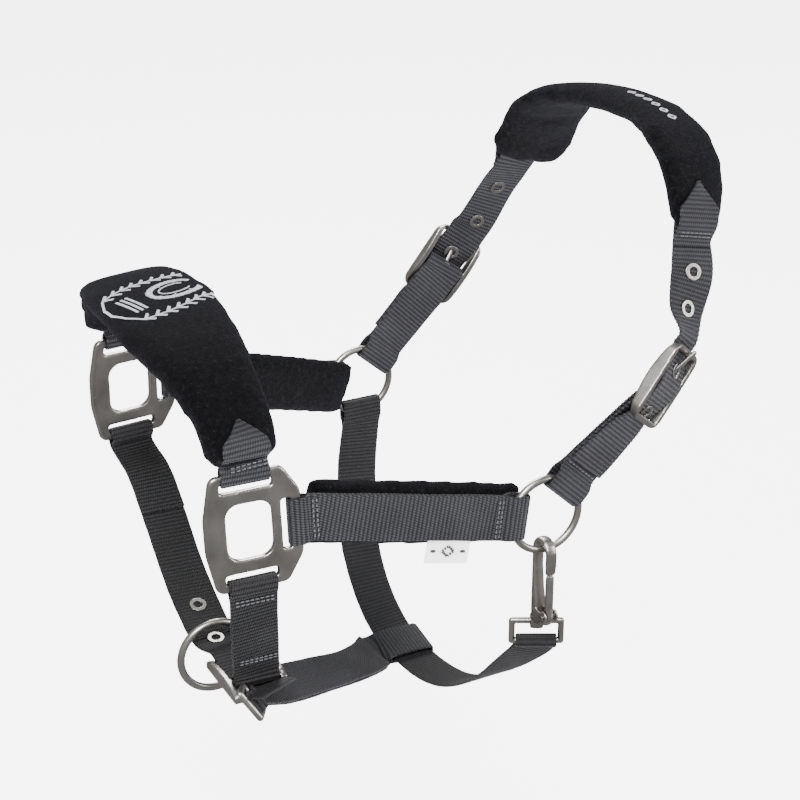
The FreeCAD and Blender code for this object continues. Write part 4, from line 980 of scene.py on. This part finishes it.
def label(plate):
    """A folded woven label under the near cheek strap, with a plain diamond sewn on it."""
    places = cheek_places("near", plate)
    place = Place(places[0].origin.lerp(places[-1].origin, 0.75), places[-1].origin - places[0].origin,
                  places[3].out)
    vertices = []
    for i in range(LABEL_COLUMNS + 1):
        a = LABEL_LENGTH * (i / LABEL_COLUMNS - 0.5)
        for b, c in label_section(math.sin(i * 0.8)):
            vertices.append(place.at(a, c, b) * MM)
    faces = capped(0, LABEL_COLUMNS + 1, 2 * LABEL_ROWS + 2)
    piece = new_object("side_label_tape", vertices, faces, smooth=False)
    settle(piece, "muzzle", "label", LABEL, "side_label")
    corners = [(-3.4, -19.0), (0, -16.2), (3.4, -19.0), (0, -21.8)]
    ring = []
    for (a0, b0), (a1, b1) in zip(corners, corners[1:] + corners[:1]):
        for k in range(3):
            s, e = k / 3 + 0.05, (k + 1) / 3 - 0.05
            ring.append((place.at(a0 + (a1 - a0) * s, -0.72, b0 + (b1 - b0) * s),
                         place.at(a0 + (a1 - a0) * e, -0.72, b0 + (b1 - b0) * e)))
    for a in (-8.6, 8.6):
        ring.append((place.at(a - 1.6, -0.72, -19.0), place.at(a + 1.6, -0.72, -19.0)))
    settle(thread_mesh("side_label_mark", ring, 0.8), "muzzle", "label", BLACK_THREAD)


def on_surface(surface, point, direction, lift):
    """The point dropped onto a pad along a direction, and raised a little off it."""
    start = (point - direction * 30) * MM
    hit, normal, _, _ = surface.ray_cast(start, direction)
    if hit is None:
        return None
    return hit / MM + normal * lift


def embroidery(name, body, surface, place, strokes, radius, material, lift=0.15):
    """Satin stitches laid across strokes drawn in a place's own (along, across) millimetres."""
    threads = []
    for (a0, b0), (a1, b1), wide in strokes:
        length = math.hypot(a1 - a0, b1 - b0)
        count = max(1, int(length / (radius * 1.7)))
        na, nb = -(b1 - b0) / length, (a1 - a0) / length
        for k in range(count):
            share = (k + 0.5) / count
            a, b = a0 + (a1 - a0) * share, b0 + (b1 - b0) * share
            half = wide / 2 * random.uniform(0.85, 1.1)
            tilt = 0.35 * half
            ends = [(a + na * half + nb * tilt, b + nb * half - na * tilt),
                    (a - na * half - nb * tilt, b - nb * half + na * tilt)]
            dropped = [on_surface(surface, place.at(p, 0, q), -place.out, lift) for p, q in ends]
            if None not in dropped:
                threads.append(tuple(dropped))
    piece = thread_mesh(name, threads, radius)
    return settle(piece, body, "fleece", material)


def polyline(points, wide):
    return [(p, q, wide) for p, q in zip(points, points[1:])]


def horseshoe_point(length, width, degrees):
    return 9 - length * math.cos(math.radians(degrees)), width * math.sin(math.radians(degrees))


def horseshoe_mark():
    """A horseshoe between two leaf sprigs, drawn as strokes; the first axis runs fore and aft."""
    strokes = []
    arc = [horseshoe_point(15, 9.5, t) for t in range(-150, 151, 15)]
    strokes += polyline(arc, 3.4)
    strokes += polyline([horseshoe_point(9.5, 5.2, t) for t in range(-140, 141, 20)], 0.9)
    for a in (-21.5, -18.5, -15.5):
        strokes.append(((a, -9.0), (a, 9.0), 1.6))
    for t in (-110, -70, -30, 30, 70, 110):
        a, b = horseshoe_point(15, 9.5, t)
        strokes.append(((a * 0.92 + 0.7, b * 0.8), (a * 0.92 + 0.7, b * 0.72), 1.2))
    for sign in (-1, 1):
        stem = [(-24 + 6.2 * k, sign * (17.5 + 2.2 * math.sin(k * 0.55))) for k in range(9)]
        strokes += polyline(stem, 1.0)
        for k, (a, b) in enumerate(stem[:-1]):
            for outer in (-1, 1):
                tip = (a + 4.6, b + outer * 3.6)
                strokes += polyline([(a + 0.6, b), ((a + tip[0]) / 2 + 0.4, (b + tip[1]) / 2), tip], 1.7)
    strokes += polyline([(-24, -17.5), (-29, -9), (-31, 0), (-29, 9), (-24, 17.5)], 1.2)
    return strokes


def nose():
    places, widths = nose_places()
    pad = puff(pad_mesh("nose_fleece", places, widths, NOSE_THICK, 1.0), 4.5, 1.6)
    settle(pad, "muzzle", "fleece", FLEECE, "nose_pad", "nose_pad_foam")
    surface = BVHTree.FromObject(pad, bpy.context.evaluated_depsgraph_get())
    top = places[6]
    mark = Place(mm(-278, -4.5, -62), turned(X_AXIS, Z_AXIS, 18.0), top.out)
    embroidery("nose_pad_mark", "muzzle", surface, mark, horseshoe_mark(), 0.30, PALE_THREAD)
    return places


def nose_ends(plates, places):
    """Each end of the noseband turns through its plate and is sewn on the pad as a point."""
    for side in SIDES:
        run = places if side == "near" else [place.back() for place in places[::-1]]
        lead = round_bar(plates[side].top(), PLATE_LOOP, END_STRAIGHT)
        inner = [(place.origin, place.across, 1.0) for place in run[3:0:-1]]
        path = tab_path(run, NOSE_THICK, 12.0, 23.5, 0.0, inner + lead)
        piece = strap(side + "_nose_webbing", "muzzle", side + "_nose_tab", path)
        rows = []
        for k in (0, 1):
            edge = run[0].moved(0.5 + 1.9 * k, NOSE_THICK * 0.30 + 0.7 * k)
            rows.append(stitch_line(edge, -10, 10, 1.2))
        sew(side + "_nose_stitches", "muzzle", sum(rows, []))
    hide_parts("nose_strap")


def chin(plates):
    buckle = Place(CHIN_BAR, Y_AXIS, -Z_AXIS)
    top = plates["near"].bottom()
    start = top.moved(END_STRAIGHT + TAPER)
    rise = start.origin - CHIN_BAR
    low = Place(CHIN_BAR, mm(0, rise.y, rise.z), mm(0, -1, 0))
    end = low.moved(BAR_STRAIGHT + TAPER).back()
    places = [start, *spread(start, end, (0.3, 0.7)), end]
    path = both_layers(round_bar(top, PLATE_LOOP, END_STRAIGHT), places,
                       round_bar(low, BAR_LOOP, BAR_STRAIGHT))
    # Darker webbing: partly the strap's darker inner face, partly painted shade.
    strap("near_chin_webbing", "muzzle", "near_chin_strap", path, closed=True, material=DARK_AND_SHADED_WEBBING)
    threads = []
    for row in (0.5, 2.4):
        threads += stitch_line(places[0], -10.5, 10.5, WEB + 0.05, a=row)
        threads += stitch_line(places[-1], -10.5, 10.5, WEB + 0.05, a=-row - 8)
    sew("near_chin_stitches", "muzzle", threads)

    points, outs = list(CHIN_FAR), list(CHIN_FAR_OUT)
    for a, c, b in ((33.0, -0.75, 0), (26.0, -0.35, 0), (2.0, OVER_BAR, 0), (-2.0, OVER_BAR, 0.5),
                    (-8.0, OVER_BAR - 2.4, 3.0), (-16.0, OVER_BAR - 6, 6.5)):
        points.append(buckle.at(a, c, b))
        outs.append(buckle.out)
    run = through(points, outs)
    loop = round_bar(plates["far"].bottom(), PLATE_LOOP, END_STRAIGHT)
    path = tucked(run) + loop + layer(run, 0)
    # Darker webbing: partly the strap's darker inner face, partly painted shade.
    strap("far_chin_webbing", "muzzle", "far_chin_strap", path, material=DARK_AND_SHADED_WEBBING)
    rows = [stitch_line(run[0], -10.5, 10.5, WEB / 2 + 0.05, a=k) for k in (6.0, 8.0)]
    sew("far_chin_stitches", "muzzle", sum(rows, []))


def throat_places():
    outs = [mm(0, point.y, point.z + 190) for point in THROAT]
    outs[-1] = outs[-1] + mm(-24, 0, 0)
    return through(THROAT, outs)


def throat():
    run = throat_places()
    hang = ring_place("far", -90.0)
    down = run[-1].origin - EYE_BOTTOM
    down = (down - EYE_AXIS * down.dot(EYE_AXIS)).normalized()
    eye = Place(EYE_BOTTOM, down, EYE_AXIS.cross(down))
    eye_loop = [(p, w, 0.9) for p, w, _ in round_bar(eye, 1.75 + GAP, 0.4)]
    path = tucked(run) + round_bar(hang, RING_LOOP, RING_STRAIGHT) + layer(run, 0)
    path += leaving(run[-1].origin, eye_loop)
    # Darker webbing: partly the strap's darker inner face, partly painted shade.
    strap("throat_webbing", "muzzle", "throat_strap", path, material=DARK_AND_SHADED_WEBBING)
    rows = [stitch_line(run[0], -10.5, 10.5, WEB / 2 + 0.05, a=k) for k in (-3.0, -1.0)]
    sew("throat_stitches", "muzzle", sum(rows, []))


def connecting():
    bar_line = LINK_ROD[1] - LINK_ROD[0]
    middle = LINK_ROD[0] * 0.4 + LINK_ROD[1] * 0.6 + LINK_STEP
    leave = LINK_STRAP[0] - middle
    unit = bar_line.normalized()
    leave = (leave - unit * leave.dot(unit)).normalized()
    bar = Place(middle, leave, leave.cross(bar_line))
    start = bar.moved(BAR_STRAIGHT + TAPER)
    run = throat_places()
    for first, second in zip(run, run[1:]):
        if first.origin.y >= LINK_LOOP_Y > second.origin.y:
            share = (first.origin.y - LINK_LOOP_Y) / (first.origin.y - second.origin.y)
            spot = first.origin.lerp(second.origin, share)
            square = Place(spot, second.origin - first.origin, first.out.lerp(second.out, share))
            loop = Place(spot + X_AXIS * (WEB_WIDTH / 2 - WEB / 2), -X_AXIS, square.out)
    straight = WEB_WIDTH + 0.2
    end = loop.moved(straight + TAPER).back()
    points = [start.origin] + LINK_STRAP + [end.origin]
    wides = [bar_line] + LINK_WIDE + [end.across]
    places = [Place(start.origin, start.along, start.out)]
    for i in range(1, len(points) - 1):
        along = (points[i + 1] - points[i - 1]).normalized()
        places.append(Place(points[i], along, along.cross(wides[i])))
    places.append(end)
    narrow = 13.0 / WEB_WIDTH
    shares = [narrow + 0.02, 0.96] + [1.0] * (len(places) - 2)
    outside, inside, previous = [], [], None
    for place, share in zip(places, shares):
        if previous is not None and place.out.dot(previous) < 0:
            place = Place(place.origin, place.along, -place.out)
        previous = place.out
        outside.append((place.at(0, WEB / 2), place.across, share))
        inside.append((place.at(0, -WEB / 2), place.across, share))
    first = leaving(outside[0][0], round_bar(bar, BAR_LOOP, BAR_STRAIGHT, narrow))[::-1]
    last = leaving(outside[-1][0], round_bar(loop, WEB / 2 + 0.4, straight))
    path = first + outside[1:-1] + last + inside[-2:0:-1]
    strap("connecting_webbing", "muzzle", "connecting_strap", path, closed=True)


def poll_mark(surface):
    """A short row of sewn diamonds on the poll pad."""
    place = Place(mm(-1, -30, 7), Y_AXIS * -1, mm(0.0, -0.25, 1))
    strokes = []
    for k in range(6):
        a = -20 + 8 * k
        corners = [(a - 2.3, 0), (a, 2.3), (a + 2.3, 0), (a, -2.3), (a - 2.3, 0)]
        strokes += polyline(corners, 1.3)
    embroidery("poll_pad_mark", "headpiece", surface, place, strokes, 0.34, PALE_THREAD)


plates = {side: Plate(side) for side in SIDES}
metals()
ring_straps()
poll_mark(crown())
cheeks(plates)
label(plates["near"])
nose_run = nose()
nose_ends(plates, nose_run)
chin(plates)
throat()
connecting()


# ---- studio ----
CAMERA_PLACE = mm(-596.9, -916.0, 303.2)
CAMERA_LOOK = mm(0.4092, 0.8182, -0.4040)
LAMP_TARGET = Vector((-0.13, 0, -0.15))
FLOOR_HALF, FLOOR_Z = 30.0, -0.62
LAMPS = (("key", (-1.0, -1.1, 1.5), 0.8, 75.0), ("fill", (1.3, -1.1, 0.5), 0.9, 24.0),
         ("rim", (0.3, 1.5, 1.1), 0.8, 40.0))


def aimed(name, data, place, look):
    """A lamp or camera at a place, looking along a direction."""
    holder = bpy.data.objects.new(name, data)
    bpy.context.scene.collection.objects.link(holder)
    holder.location = place
    holder.rotation_mode = "QUATERNION"
    holder.rotation_quaternion = look.to_track_quat("-Z", "Y")
    return holder


def studio():
    """A pale floor, soft light and the camera."""
    scene = bpy.context.scene
    corners = [(x * FLOOR_HALF, y * FLOOR_HALF, FLOOR_Z) for x, y in ((-1, -1), (1, -1), (1, 1), (-1, 1))]
    floor = new_object("floor", corners, [(0, 1, 2, 3)])
    paper = Graph("paper_floor")
    paper.surface(Base_Color=(0.93, 0.93, 0.93, 1.0), Roughness=0.8, Emission_Color=(1.0, 1.0, 1.0, 1.0),
                  Emission_Strength=5.0)
    floor.data.materials.append(paper.material)
    floor.visible_glossy = False
    world = bpy.data.worlds.new("studio")
    scene.world = world
    world.use_nodes = True
    world.node_tree.nodes["Background"].inputs["Color"].default_value = (1.0, 1.0, 1.0, 1.0)
    world.node_tree.nodes["Background"].inputs["Strength"].default_value = 0.35
    for name, place, size, power in LAMPS:
        lamp = bpy.data.lights.new(name, "AREA")
        lamp.size = size
        lamp.energy = power
        aimed(name, lamp, Vector(place), LAMP_TARGET - Vector(place))
    camera = bpy.data.cameras.new("camera")
    camera.lens = 90.0
    camera.sensor_width = 36.0
    scene.camera = aimed("camera", camera, CAMERA_PLACE * MM, CAMERA_LOOK)


studio()
